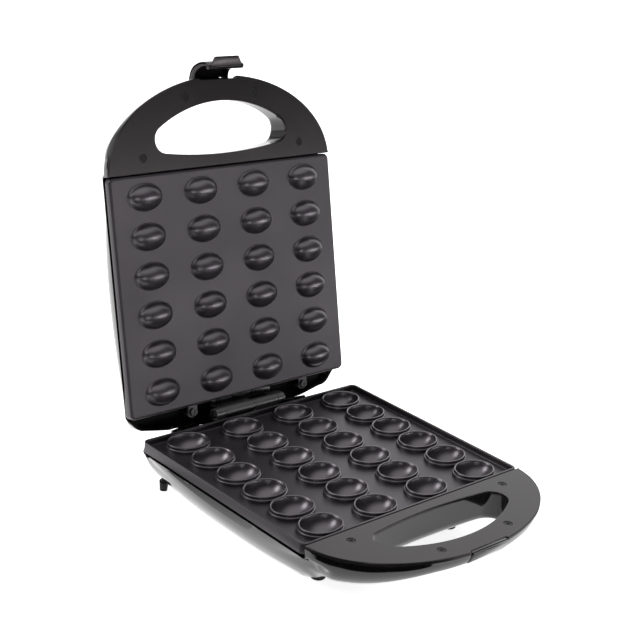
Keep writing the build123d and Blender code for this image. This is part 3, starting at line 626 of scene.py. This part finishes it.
def lower_plate():
    B = Body()
    N = 72
    first, last = plate_edge(B, [
        (-3.9, 5.2), (-3.35, 5.12), (-2.95, 4.85), (-2.72, 4.4), (-2.62, 3.6), (-2.5, 1.1),
        (-2.42, 0.55), (-2.2, 0.18), (-1.85, 0.02), (-1.5, 0.0), (-0.62, 0.0), (-0.28, 0.09),
        (-0.07, 0.3), (0.0, 0.65), (0.0, 4.0), (0.0, 8.9), (-0.12, 9.25), (-0.45, 9.4), (-2.4, 9.4),
        (-2.5, 8.9), (-2.7, 8.2)], 0.86)
    prof = [(1.05, 5.2), (1.02, 4.6), (1.0, 3.3), (0.95, 2.95), (0.82, 2.72), (0.62, 2.62),
            (0.3, 2.58), (0.1, 2.45), (0.02, 2.15), (0.0, 1.7), (0.0, 1.0), (-0.03, 0.6),
            (-0.14, 0.28), (-0.36, 0.07), (-0.62, 0.0), (-0.92, 0.03), (-1.2, 0.16), (-1.42, 0.42)]
    feet = []
    for x, y in WELLS:
        rings = [B.ring3(ellipse(x, y, 19 + o, 15 + o, N), d) for o, d in prof]
        # inside of the bowl, an egg shape whose axis lies just above the rim
        a0 = math.asin((0.95 + 1.0) / 13.4)
        for a in np.linspace(a0, math.pi / 2, 17)[:-1]:
            c = math.cos(a)
            rings.append(B.ring3(ellipse(x, y, 17.4 * c, 13.4 * c, N), -1.0 + 13.4 * math.sin(a)))
        B.strip(rings, 1)
        P = np.r_[rings[-1], [(x, y, 12.4)]]
        B.add(P, [(i, (i + 1) % N, N) for i in range(N)], 1)
        feet.append(ellipse(x, y, 19 + prof[0][0], 15 + prof[0][0], N))
    B.cap([first] + feet, 5.2)
    under = []
    for x, y in WELLS:
        r = spheroid_rings(B, x, y, 19.6, 15.6, -1.0, 8.2, 1, n=36, rows=8)
        under.append(r[:, :2])
    B.cap([last] + under, 8.2)
    ears(B)
    return B


def upper_plate():
    B = Body()
    N = 72
    first, last = plate_edge(B, [
        (-2.6, 0.0), (-1.75, 0.02), (-1.35, 0.14), (-0.85, 0.5), (-0.42, 0.95), (-0.12, 1.42),
        (0.0, 1.9), (0.0, 4.0), (0.0, 8.9), (-0.12, 9.25), (-0.45, 9.4), (-2.4, 9.4),
        (-2.5, 8.9), (-2.7, 3.0)], 0.43)
    prof = [(1.35, 0.0), (0.95, -0.05), (0.6, -0.18), (0.33, -0.4), (0.13, -0.75)]
    feet = []
    for x, y in WELLS:
        rings = [B.ring3(ellipse(x, y, 16.5 + o, 10.53 + o, N), d) for o, d in prof]
        a0 = math.asin((1.2 + 1.15) / 10.6)
        for a in np.linspace(a0, math.pi / 2, 17)[:-1]:
            c = math.cos(a)
            rings.append(B.ring3(ellipse(x, y, 16.6 * c, 10.6 * c, N), 1.2 - 10.6 * math.sin(a)))
        B.strip(rings[:3], 0)
        B.strip(rings[2:], 1)
        P = np.r_[rings[-1], [(x, y, -9.4)]]
        B.add(P, [(i, (i + 1) % N, N) for i in range(N)], 1)
        feet.append(ellipse(x, y, 16.5 + prof[0][0], 10.53 + prof[0][0], N))
    B.cap([first] + feet, 0.0)
    B.cap([last], 3.0)
    ears(B)
    return B


# ---------------------------------------------------------------------------
# Handle plates
# ---------------------------------------------------------------------------
def handle_cover():
    B = Body()
    ystep = math.asin((H_REAR - HCY) / HB)
    th = np.linspace(math.pi - ystep, 2 * math.pi + ystep, 1200)
    P = np.stack([HA * np.cos(th), HCY + HB * np.sin(th)], 1)
    P[0, 1] = P[-1, 1] = H_REAR
    xn, yn, rn = 20.7, -172.9, 1.6
    left = P[P[:, 0] < -xn]
    right = P[P[:, 0] > xn]
    t = np.linspace(0, math.pi / 2, 7)
    nl = np.stack([-xn + rn - rn * np.cos(t), yn - rn + rn * np.sin(t)], 1)
    nr = nl[::-1] * np.array([-1, 1])
    L = np.r_[resample(left, 2.2), nl, nr, resample(right, 2.2)]
    H = OPENING[::-1]
    e = 0.55

    def offs(loop, o):
        return loop + left_normals(loop) * o
    prof = [(e, 0.0), (0.3 * e, 0.3 * e), (0.0, e), (0.0, SEAT)]
    tops, bots = [], []
    for loop in (L, H):
        B.strip([B.ring3(offs(loop, o), d) for o, d in prof])
        tops.append(offs(loop, e))
        bots.append(loop)
    for x, y in SCREWS:
        r = [(3.62, 0.0), (3.55, 0.08), (3.5, 0.2), (3.5, 1.4), (1.8, 1.4), (1.8, SEAT)]
        B.strip([B.ring3(ellipse(x, y, a, a, 36), d) for a, d in r])
        tops.append(ellipse(x, y, 3.62, 3.62, 36))
        bots.append(ellipse(x, y, 1.8, 1.8, 36))
    B.cap(tops, 0.0)
    B.cap(bots, SEAT)
    return B


# ---------------------------------------------------------------------------
# Materials
# ---------------------------------------------------------------------------
def material(name, dark, light, rough, spread=0.04, grain=900.0, bump=0.0, ior=1.5, metallic=0.0,
             coat=0.0, coat_rough=0.05, patch=14.0, spec=0.5, tint=(1.0, 1.0, 1.0)):
    m = bpy.data.materials.new(name)
    m.use_nodes = True
    nt = m.node_tree
    bsdf = nt.nodes["Principled BSDF"]
    tc = nt.nodes.new("ShaderNodeTexCoord")
    cloud = nt.nodes.new("ShaderNodeTexNoise")
    cloud.inputs["Scale"].default_value = patch
    cloud.inputs["Detail"].default_value = 4.0
    fine = nt.nodes.new("ShaderNodeTexNoise")
    fine.inputs["Scale"].default_value = grain
    fine.inputs["Detail"].default_value = 3.0
    nt.links.new(tc.outputs["Object"], cloud.inputs["Vector"])
    nt.links.new(tc.outputs["Object"], fine.inputs["Vector"])
    mix = nt.nodes.new("ShaderNodeMix")
    mix.data_type = "RGBA"
    mix.inputs["A"].default_value = (*dark, 1)
    mix.inputs["B"].default_value = (*light, 1)
    nt.links.new(fine.outputs["Fac"], mix.inputs["Factor"])
    nt.links.new(mix.outputs["Result"], bsdf.inputs["Base Color"])
    rng = nt.nodes.new("ShaderNodeMapRange")
    rng.inputs["From Min"].default_value = 0.3
    rng.inputs["From Max"].default_value = 0.7
    rng.inputs["To Min"].default_value = rough - spread
    rng.inputs["To Max"].default_value = rough + spread
    nt.links.new(cloud.outputs["Fac"], rng.inputs["Value"])
    nt.links.new(rng.outputs["Result"], bsdf.inputs["Roughness"])
    if bump:
        bp = nt.nodes.new("ShaderNodeBump")
        bp.inputs["Strength"].default_value = bump
        bp.inputs["Distance"].default_value = 0.0001
        nt.links.new(fine.outputs["Fac"], bp.inputs["Height"])
        nt.links.new(bp.outputs["Normal"], bsdf.inputs["Normal"])
    bsdf.inputs["IOR"].default_value = ior
    bsdf.inputs["Metallic"].default_value = metallic
    bsdf.inputs["Coat Weight"].default_value = coat
    bsdf.inputs["Coat Roughness"].default_value = coat_rough
    bsdf.inputs["Specular IOR Level"].default_value = spec
    bsdf.inputs["Specular Tint"].default_value = (*tint, 1)
    return m


GLOSS = material("gloss_housing", (0.0015, 0.0015, 0.0016), (0.003, 0.003, 0.0031), 0.075, 0.012,
                 grain=700, bump=0.008, ior=1.53)
DULL = material("dull_housing", (0.002, 0.002, 0.002), (0.004, 0.004, 0.004), 0.7, 0.05,
                grain=900, bump=0.1, ior=1.25)
SATIN = material("satin_plastic", (0.005, 0.0047, 0.005), (0.009, 0.0085, 0.0088), 0.21, 0.02,
                 grain=1500, bump=0.08, ior=1.38, tint=(1.0, 0.9, 0.93))
CAST = material("nonstick_casting", (0.008, 0.0073, 0.0082), (0.015, 0.0137, 0.0153), 0.42, 0.03,
                grain=1300, bump=0.14, ior=1.6, tint=(1.0, 0.92, 1.0))
BOWL = material("nonstick_bowl", (0.009, 0.0083, 0.0092), (0.015, 0.0137, 0.0153), 0.35, 0.02,
                grain=1300, bump=0.05, ior=2.15, tint=(1.0, 0.93, 1.0))
SCREW = material("dark_screw", (0.022, 0.022, 0.023), (0.045, 0.045, 0.047), 0.36, 0.05,
                 grain=2500, bump=0.1, metallic=0.8)
RUBBER = material("rubber", (0.004, 0.004, 0.004), (0.009, 0.009, 0.009), 0.6, 0.05,
                  grain=1800, bump=0.25, ior=1.3)
HINGE = material("hinge_metal", (0.05, 0.048, 0.05), (0.085, 0.082, 0.085), 0.38, 0.04,
                 grain=1100, bump=0.12, ior=1.7)
HEAD = material("cover_screw", (0.002, 0.002, 0.002), (0.005, 0.005, 0.005), 0.4, 0.04,
                grain=2500, bump=0.1, ior=1.3)
STEEL = material("element_steel", (0.28, 0.26, 0.24), (0.4, 0.38, 0.36), 0.35, 0.06,
                 grain=900, bump=0.08, metallic=1.0)
SHEETM = material("reflector_sheet", (0.66, 0.66, 0.67), (0.78, 0.78, 0.79), 0.3, 0.08,
                  grain=600, bump=0.05, metallic=1.0)
CERAMIC = material("ceramic_block", (0.74, 0.72, 0.66), (0.84, 0.82, 0.77), 0.5, 0.05,
                   grain=1500, bump=0.2)
LEAD = material("lead_insulation", (0.5, 0.48, 0.4), (0.66, 0.64, 0.55), 0.6, 0.05,
                grain=2200, bump=0.4)
LENS = material("lamp_lens", (0.3, 0.02, 0.012), (0.42, 0.03, 0.02), 0.08, 0.02, grain=300, coat=0.5)
GLASS = material("lamp_glass", (0.7, 0.7, 0.7), (0.85, 0.85, 0.85), 0.08, 0.02, grain=300)
SLOT = {"gloss_housing": GLOSS, "satin_plastic": SATIN, "nonstick_casting": CAST,
        "dark_screw": SCREW, "rubber": RUBBER, "element_steel": STEEL,
        "reflector_sheet": SHEETM, "hinge_metal": HINGE, "ceramic_block": CERAMIC,
        "lead_insulation": LEAD, "lamp_lens": LENS, "lamp_glass": GLASS, "switch_metal": STEEL}
for part in frame["record"]["subparts"]:
    ob = nodes[part["node"]]
    mt = HEAD if part["node"].endswith("handle_screws") else SLOT[part["material_slot"]]
    if len(ob.material_slots) == 0:
        ob.data.materials.append(mt)
    for s in ob.material_slots:
        s.link = "OBJECT"
        s.material = mt


def dress(ob, body, slot_name, replaced, *mats):
    for m in mats:
        ob.data.materials.append(m)
    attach(ob, body)
    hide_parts(*replaced)
    return ob


# ---------------------------------------------------------------------------
# Pieces
# ---------------------------------------------------------------------------
HOUSING = housing_body()
base_housing = HOUSING.build("base_housing", to_base, 32)
cut(base_housing, box_cutter(-20.7, 20.7, -190, -168.3, -1, 12.5, to_base))
inlet = Body()
ring = ellipse(-48.0, 31.0, 5.98, 5.98, 48)
inlet.strip([np.c_[ring[:, 0], np.full(48, y), ring[:, 1]] for y in (108.0, 132.0)])
for y in (108.0, 132.0):
    inlet.add(np.c_[ring[:, 0], np.full(48, y), ring[:, 1]], [tuple(range(48))])
cut(base_housing, inlet.build("cutter", to_base))
dress(base_housing, "base", "gloss_housing", ["base_shell"], GLOSS, DULL)
lid_housing = HOUSING.build("lid_housing", to_lid, 32)
cut(lid_housing, box_cutter(-20.7, 20.7, -190, -165.2, -1, 20.0, to_lid))
dress(lid_housing, "lid", "gloss_housing", ["lid_shell"], GLOSS, DULL)

SHELF = rear_shelf()
base_shelf = SHELF.build("base_shelf", to_base, 32)
dress(base_shelf, "base", "gloss_housing", ["base_shell"], DULL)
lid_shelf = SHELF.build("lid_shelf", to_lid, 32)
dress(lid_shelf, "lid", "gloss_housing", ["lid_shell"], DULL)

LOWER = lower_plate()
lower = LOWER.build("lower_plate", to_base, 40)
dress(lower, "base", "nonstick_casting", ["lower_cooking_plate"], CAST, BOWL)
UPPER = upper_plate()
upper = UPPER.build("upper_plate", to_lid, 40)
dress(upper, "lid", "nonstick_casting", ["upper_cooking_plate"], CAST, BOWL)

COVER = handle_cover()
base_cover = COVER.build("base_handle_cover", to_base, 40)
dress(base_cover, "base", "satin_plastic", ["base_handle_plate"], SATIN)
lid_cover = COVER.build("lid_handle_cover", to_lid, 40)
dress(lid_cover, "lid", "satin_plastic", ["lid_handle_plate"], SATIN)

for ob, where in ((lower, to_base), (upper, to_lid), (base_cover, to_base), (lid_cover, to_lid)):
    crisp(ob, where)

ears_body = Body()
t = np.linspace(math.pi / 2, 3 * math.pi / 2, 15)
EAR = np.r_[np.stack([-170.0 + 4.0 * np.cos(t), 13.5 + 4.0 * np.sin(t)], 1),
            [(-163.5, 9.5), (-160.5, 15.5), (-163.0, 17.5)]]
for x in (-15.9, 12.9):
    sweep_x(EAR, x, x + 3.0, ears_body, 0.3)
pivot_ears = ears_body.build("lid_pivot_ears", to_lid, 30)
dress(pivot_ears, "lid", "gloss_housing", ["lid_shell"], GLOSS)


def curve(P, n=10):
    """Smooth open line through the points."""
    P = np.asarray(P, float)
    Q = np.r_[[2 * P[0] - P[1]], P, [2 * P[-1] - P[-2]]]
    out = []
    for i in range(1, len(Q) - 2):
        for u in np.linspace(0, 1, n, endpoint=False):
            a, b, c, d = Q[i - 1:i + 3]
            out.append(0.5 * (2 * b + (c - a) * u + (2 * a - 5 * b + 4 * c - d) * u * u
                              + (3 * b - a - 3 * c + d) * u ** 3))
    return np.array(out + [P[-1]])


HOOD_OUT = curve([(-174.2, 18.0), (-179.6, 15.6), (-182.9, 12.7), (-185.2, 9.4), (-186.6, 5.6),
                  (-187.6, 1.0), (-187.8, -3.4), (-186.8, -7.4), (-185.2, -10.1)], 5)
HOOD_IN = curve([(-180.8, -9.2), (-183.7, -7.9), (-185.3, -5.2), (-185.7, -3.0), (-185.5, 1.2),
                 (-184.5, 5.2), (-183.2, 8.6), (-181.2, 11.5), (-178.4, 14.0), (-174.6, 15.9)], 5)


def rod_x(B, y, d, r, x0, x1, n=28, bevel=0.4):
    L = ellipse(y, d, r, r, n)
    sweep_x(L, x0, x1, B, bevel)


latch_body = Body()
sweep_x(np.r_[HOOD_OUT, HOOD_IN], -18.4, 18.4, latch_body, 0.3)
rod_x(latch_body, -182.9, -10.1, 2.3, -18.4, 18.4)
rod_x(latch_body, -170.0, 13.5, 3.8, -12.6, 12.6)
sweep_x([(-169.6, 17.2), (-174.3, 17.8), (-174.9, 15.6), (-172.4, 13.0)], -12.6, 12.6, latch_body, 0.2)
t = np.linspace(math.pi / 2, -math.pi / 2, 15)
CHEEK = np.r_[np.stack([-170.0 + 4.0 * np.cos(t), 13.5 + 4.0 * np.sin(t)], 1),
              [(-174.2, 10.2), (-178.6, 8.6), (-181.8, 4.4), (-183.8, -1.0), (-184.2, -7.0)],
              curve([(-186.8, -7.4), (-187.3, 1.0), (-186.3, 5.6), (-184.9, 9.4), (-182.6, 12.5),
                     (-179.4, 15.3), (-174.2, 17.9)], 4)]
for x in (-18.4, 16.4):
    sweep_x(CHEEK, x, x + 2.0, latch_body, 0.3)
# thumb tab, tapered, with rounded corners
TAB = []
for x0, y0, x1, y1 in ((16.6, -182.6, 16.6, -184.4), (16.6, -184.4, 13.4, -189.2)):
    TAB += [(x0 + (x1 - x0) * k / 3, y0 + (y1 - y0) * k / 3) for k in range(3)]
TAB += [(11.2 + 2.4 * math.cos(a), -188.8 - 2.4 * math.sin(a))
        for a in np.linspace(0.35, math.pi / 2, 8)]
TAB = TAB + [(-x, y) for x, y in TAB[::-1]]
TAB = np.array(TAB)
if area(TAB) < 0:
    TAB = TAB[::-1].copy()


def tab_depth(y, back):
    return -12.3 + (y + 183.4) * 0.20 + (1.7 if back else 0.0)


tn = left_normals(TAB)
rings = []
for o, back, lift in ((0.35, False, 0.0), (0.1, False, 0.1), (0.0, False, 0.35), (0.0, True, -0.35),
                      (0.1, True, -0.1), (0.35, True, 0.0)):
    Q = TAB + tn * o
    rings.append(np.c_[Q, tab_depth(Q[:, 1], back) + lift])
latch_body.strip(rings)
for back in (False, True):
    W, T = triangulate([TAB + tn * 0.35])
    latch_body.add(np.c_[W, tab_depth(W[:, 1], back)], T)
latch_piece = latch_body.build("latch_hook", to_lid, 30)
dress(latch_piece, "latch", "satin_plastic", ["latch"], SATIN)

catch_body = Body()
NOSE = np.r_[[(-168.4, 11.6), (-168.4, 2.75), (-173.15, 2.75), (-173.15, 0.5), (-174.9, 0.5)],
             curve([(-175.45, 0.95), (-175.55, 3.1), (-175.1, 5.2), (-173.9, 8.0), (-172.3, 10.4),
                    (-171.3, 11.6)], 5)]
sweep_x(NOSE, -19.6, 19.6, catch_body, 0.45)
nose = catch_body.build("latch_nose", to_base, 30)
dress(nose, "base", "satin_plastic", ["latch_catch"], GLOSS)

# raised lips of the rear rim beside the hinge
lip_body = Body()
for sign in (-1, 1):
    E = OUTS[(OUTS[:, 1] > 112) & (sign * OUTS[:, 0] > 44) & (sign * OUTS[:, 0] < 76)]
    E = E[np.argsort(np.arctan2(E[:, 1], E[:, 0]))]
    E = resample(E, 2.0)
    En = left_normals(E, False)
    L = np.r_[E + En * 0.15, (E + En * 2.35)[::-1]]
    if area(L) < 0:
        L = L[::-1].copy()
    Ln = left_normals(L)
    lip_body.strip([lip_body.ring3(L + Ln * 0.3, 9.0), lip_body.ring3(L, 9.3), lip_body.ring3(L, 20.0)])
    lip_body.cap([L + Ln * 0.3], 9.0)
    lip_body.cap([L], 20.0)
lips = lip_body.build("base_rear_lips", to_base, 30)
dress(lips, "base", "gloss_housing", ["base_shell"], GLOSS)


# ---------------------------------------------------------------------------
# Camera
# ---------------------------------------------------------------------------
az, el, roll = math.radians(-44.28340389), math.radians(20.2018278), math.radians(-6.02873561)
back = np.array([math.sin(az) * math.cos(el), -math.cos(az) * math.cos(el), math.sin(el)])
zc = -back
xc = np.cross(zc, [0, 0, 1.0])
xc /= np.linalg.norm(xc)
yc = np.cross(zc, xc)
x2 = xc * math.cos(roll) + yc * math.sin(roll)
y2 = -xc * math.sin(roll) + yc * math.cos(roll)
R = np.array([x2, y2, zc])
place = -R.T @ np.array([8.4146275, 96.3364089, 992.8815225]) * 1.15
place = (place + np.array([0, YS, RIM])) / 1000.0
cam_data = bpy.data.cameras.new("camera")
cam_data.sensor_width = 36.0
cam_data.lens = 1381.93411 * 36.0 / 640.0
cam_data.clip_start = 0.05
cam_data.clip_end = 60.0
cam = bpy.data.objects.new("camera", cam_data)
bpy.context.scene.collection.objects.link(cam)
M = Matrix([[x2[i], -y2[i], -zc[i], place[i]] for i in range(3)] + [[0, 0, 0, 1]])
cam.matrix_world = M
bpy.context.scene.camera = cam

# ---------------------------------------------------------------------------
# Floor, light
# ---------------------------------------------------------------------------
scene = bpy.context.scene
scene.view_settings.view_transform = "Standard"
scene.view_settings.look = "None"

bpy.ops.mesh.primitive_plane_add(size=30.0, location=(0, 0, 0))
floor = bpy.context.object
floor.name = "floor"
fm = bpy.data.materials.new("pale_floor")
fm.use_nodes = True
fb = fm.node_tree.nodes["Principled BSDF"]
fb.inputs["Base Color"].default_value = (0.93, 0.93, 0.93, 1)
fb.inputs["Roughness"].default_value = 0.9
fb.inputs["Specular IOR Level"].default_value = 0.1
fb.inputs["Emission Color"].default_value = (1, 1, 1, 1)
fb.inputs["Emission Strength"].default_value = 0.85
floor.data.materials.append(fm)

world = bpy.data.worlds.new("studio")
scene.world = world
world.use_nodes = True
wt = world.node_tree
bg = wt.nodes["Background"]
wtc = wt.nodes.new("ShaderNodeTexCoord")


def patch(direction, inner, outer, level):
    """Soft bright disc in the surroundings, angles in degrees."""
    d = Vector(direction).normalized()
    dot = wt.nodes.new("ShaderNodeVectorMath")
    dot.operation = "DOT_PRODUCT"
    dot.inputs[1].default_value = d
    wt.links.new(wtc.outputs["Generated"], dot.inputs[0])
    rg = wt.nodes.new("ShaderNodeMapRange")
    rg.interpolation_type = "SMOOTHSTEP"
    rg.inputs["From Min"].default_value = math.cos(math.radians(outer))
    rg.inputs["From Max"].default_value = math.cos(math.radians(inner))
    rg.inputs["To Min"].default_value = 0.0
    rg.inputs["To Max"].default_value = level
    wt.links.new(dot.outputs["Value"], rg.inputs["Value"])
    return rg.outputs["Result"]


def band(direction, inner, outer, z_low, z_high, soft, level):
    """Soft bright strip along the horizon, limited in height by z."""
    side = patch(direction, inner, outer, level)
    sep = wt.nodes.new("ShaderNodeSeparateXYZ")
    wt.links.new(wtc.outputs["Generated"], sep.inputs[0])
    out = side
    for a, b in ((z_low - soft, z_low + soft), (z_high + soft, z_high - soft)):
        rg = wt.nodes.new("ShaderNodeMapRange")
        rg.interpolation_type = "SMOOTHSTEP"
        lo, hi = min(a, b), max(a, b)
        rg.inputs["From Min"].default_value = lo
        rg.inputs["From Max"].default_value = hi
        rg.inputs["To Min"].default_value = 0.0 if a < b else 1.0
        rg.inputs["To Max"].default_value = 1.0 if a < b else 0.0
        wt.links.new(sep.outputs["Z"], rg.inputs["Value"])
        m = wt.nodes.new("ShaderNodeMath")
        m.operation = "MULTIPLY"
        wt.links.new(out, m.inputs[0])
        wt.links.new(rg.outputs["Result"], m.inputs[1])
        out = m.outputs[0]
    return out


def total(values, base):
    out = None
    for v in values:
        m = wt.nodes.new("ShaderNodeMath")
        m.operation = "ADD"
        if out is None:
            m.inputs[1].default_value = base
        else:
            wt.links.new(out, m.inputs[1])
        wt.links.new(v, m.inputs[0])
        out = m.outputs[0]
    return out


sky = total([
    band((0.53, -0.848, 0.0), 15, 34, -0.06, 0.095, 0.035, 6.0),    # low strip at the front right
    patch((0.52, -0.853, 0.02), 2, 11, 3.0),                      # its brighter middle
    patch((-0.548, -0.846, 0.06), 5, 10, 5.0),                    # small light at the front left
    patch((-0.723, 0.416, 0.552), 11, 21, 5.0),                   # softbox at the left rear
    patch((0.74, 0.60, 0.28), 27, 48, 1.5),                       # pale backdrop behind and right
    patch((-0.5, 0.85, 0.05), 18, 44, 0.6),                       # backdrop at the left rear
    patch((0.0, 0.0, 1.0), 22, 55, 0.9),                          # ceiling
], 0.04)
wt.links.new(sky, bg.inputs["Strength"])
bg.inputs["Color"].default_value = (1, 1, 1, 1)

# dark card out of shot, which shapes the reflection along the front of the handle
card = bpy.data.objects.new("dark_card", bpy.data.meshes.new("dark_card"))
EDGE = [(-0.195, -0.015), (-0.165, -0.070), (-0.155, -0.115), (-0.145, -0.147), (-0.128, -0.165),
        (-0.107, -0.181), (-0.084, -0.197), (-0.045, -0.212), (-0.015, -0.235), (0.0, -0.262),
        (0.04, -0.37), (0.14, -0.38), (0.21, -0.30), (0.20, -0.18), (0.16, -0.08), (0.15, 0.3),
        (3.0, 0.3), (3.0, -3.0), (-3.0, -3.0), (-3.0, 0.0)]
EDGE = [tuple(p) for p in curve(EDGE[:16], 8)] + EDGE[16:]
card.data.from_pydata([(x, y, 0.0008) for x, y in EDGE], [], [tuple(range(len(EDGE)))])
scene.collection.objects.link(card)
cm = bpy.data.materials.new("dark_card")
cm.use_nodes = True
cb = cm.node_tree.nodes["Principled BSDF"]
cb.inputs["Base Color"].default_value = (0.004, 0.004, 0.004, 1)
cb.inputs["Roughness"].default_value = 1.0
cb.inputs["Specular IOR Level"].default_value = 0.0
cb.inputs["Emission Color"].default_value = (1, 1, 1, 1)
ctc = cm.node_tree.nodes.new("ShaderNodeTexCoord")
csep = cm.node_tree.nodes.new("ShaderNodeSeparateXYZ")
crg = cm.node_tree.nodes.new("ShaderNodeMapRange")
crg.interpolation_type = "SMOOTHSTEP"
crg.inputs["From Min"].default_value = 0.02
crg.inputs["From Max"].default_value = 0.30
crg.inputs["To Min"].default_value = 0.0
crg.inputs["To Max"].default_value = 0.95
cm.node_tree.links.new(ctc.outputs["Object"], csep.inputs[0])
cm.node_tree.links.new(csep.outputs["Y"], crg.inputs["Value"])
cm.node_tree.links.new(crg.outputs["Result"], cb.inputs["Emission Strength"])
card.data.materials.append(cm)
card.visible_camera = False
card.visible_diffuse = False
card.visible_shadow = False

# strip of floor along the left side, seen only in reflections, with painted shade: its glow dims towards the rear,
# standing in for the floor shaded under the object's rear
shade_card = bpy.data.objects.new("floor_shade_card", bpy.data.meshes.new("floor_shade_card"))
EDGE2 = [(-0.118, -0.02), (-0.118, 0.11), (-0.30, 0.11), (-0.34, 0.06), (-0.245, -0.01), (-0.225, -0.02)]
shade_card.data.from_pydata([(x, y, 0.0005) for x, y in EDGE2], [], [tuple(range(len(EDGE2)))])
scene.collection.objects.link(shade_card)
gm = bpy.data.materials.new("floor_shade_card")
gm.use_nodes = True
gt = gm.node_tree
gb = gt.nodes["Principled BSDF"]
gb.inputs["Base Color"].default_value = (0, 0, 0, 1)
gb.inputs["Specular IOR Level"].default_value = 0.0
gb.inputs["Emission Color"].default_value = (1, 1, 1, 1)
gtc = gt.nodes.new("ShaderNodeTexCoord")
gsep = gt.nodes.new("ShaderNodeSeparateXYZ")
# painted shade: the glow falls from 1.0 at the front to 0.3 towards the rear
shade_ramp = gt.nodes.new("ShaderNodeMapRange")
shade_ramp.inputs["From Min"].default_value = -0.02
shade_ramp.inputs["From Max"].default_value = 0.12
shade_ramp.inputs["To Min"].default_value = 1.0
shade_ramp.inputs["To Max"].default_value = 0.3
gt.links.new(gtc.outputs["Object"], gsep.inputs[0])
gt.links.new(gsep.outputs["Y"], shade_ramp.inputs["Value"])
gt.links.new(shade_ramp.outputs["Result"], gb.inputs["Emission Strength"])
shade_card.data.materials.append(gm)
shade_card.visible_camera = False
shade_card.visible_diffuse = False
shade_card.visible_shadow = False

# pale backdrop far behind the object, seen only by the camera
wall = bpy.data.objects.new("backdrop", bpy.data.meshes.new("backdrop"))
ringp = [(4.5 * math.cos(math.radians(6 * k)), 4.5 * math.sin(math.radians(6 * k))) for k in range(60)]
wall.data.from_pydata([(x, y, z) for z in (-0.3, 4.0) for x, y in ringp], [],
                      [(k, (k + 1) % 60, 60 + (k + 1) % 60, 60 + k) for k in range(60)])
scene.collection.objects.link(wall)
bm_ = bpy.data.materials.new("backdrop")
bm_.use_nodes = True
bb = bm_.node_tree.nodes["Principled BSDF"]
bb.inputs["Base Color"].default_value = (0, 0, 0, 1)
bb.inputs["Specular IOR Level"].default_value = 0.0
bb.inputs["Emission Color"].default_value = (1, 1, 1, 1)
bb.inputs["Emission Strength"].default_value = 1.05
wall.data.materials.append(bm_)
wall.visible_diffuse = False
wall.visible_glossy = False
wall.visible_transmission = False
wall.visible_shadow = False
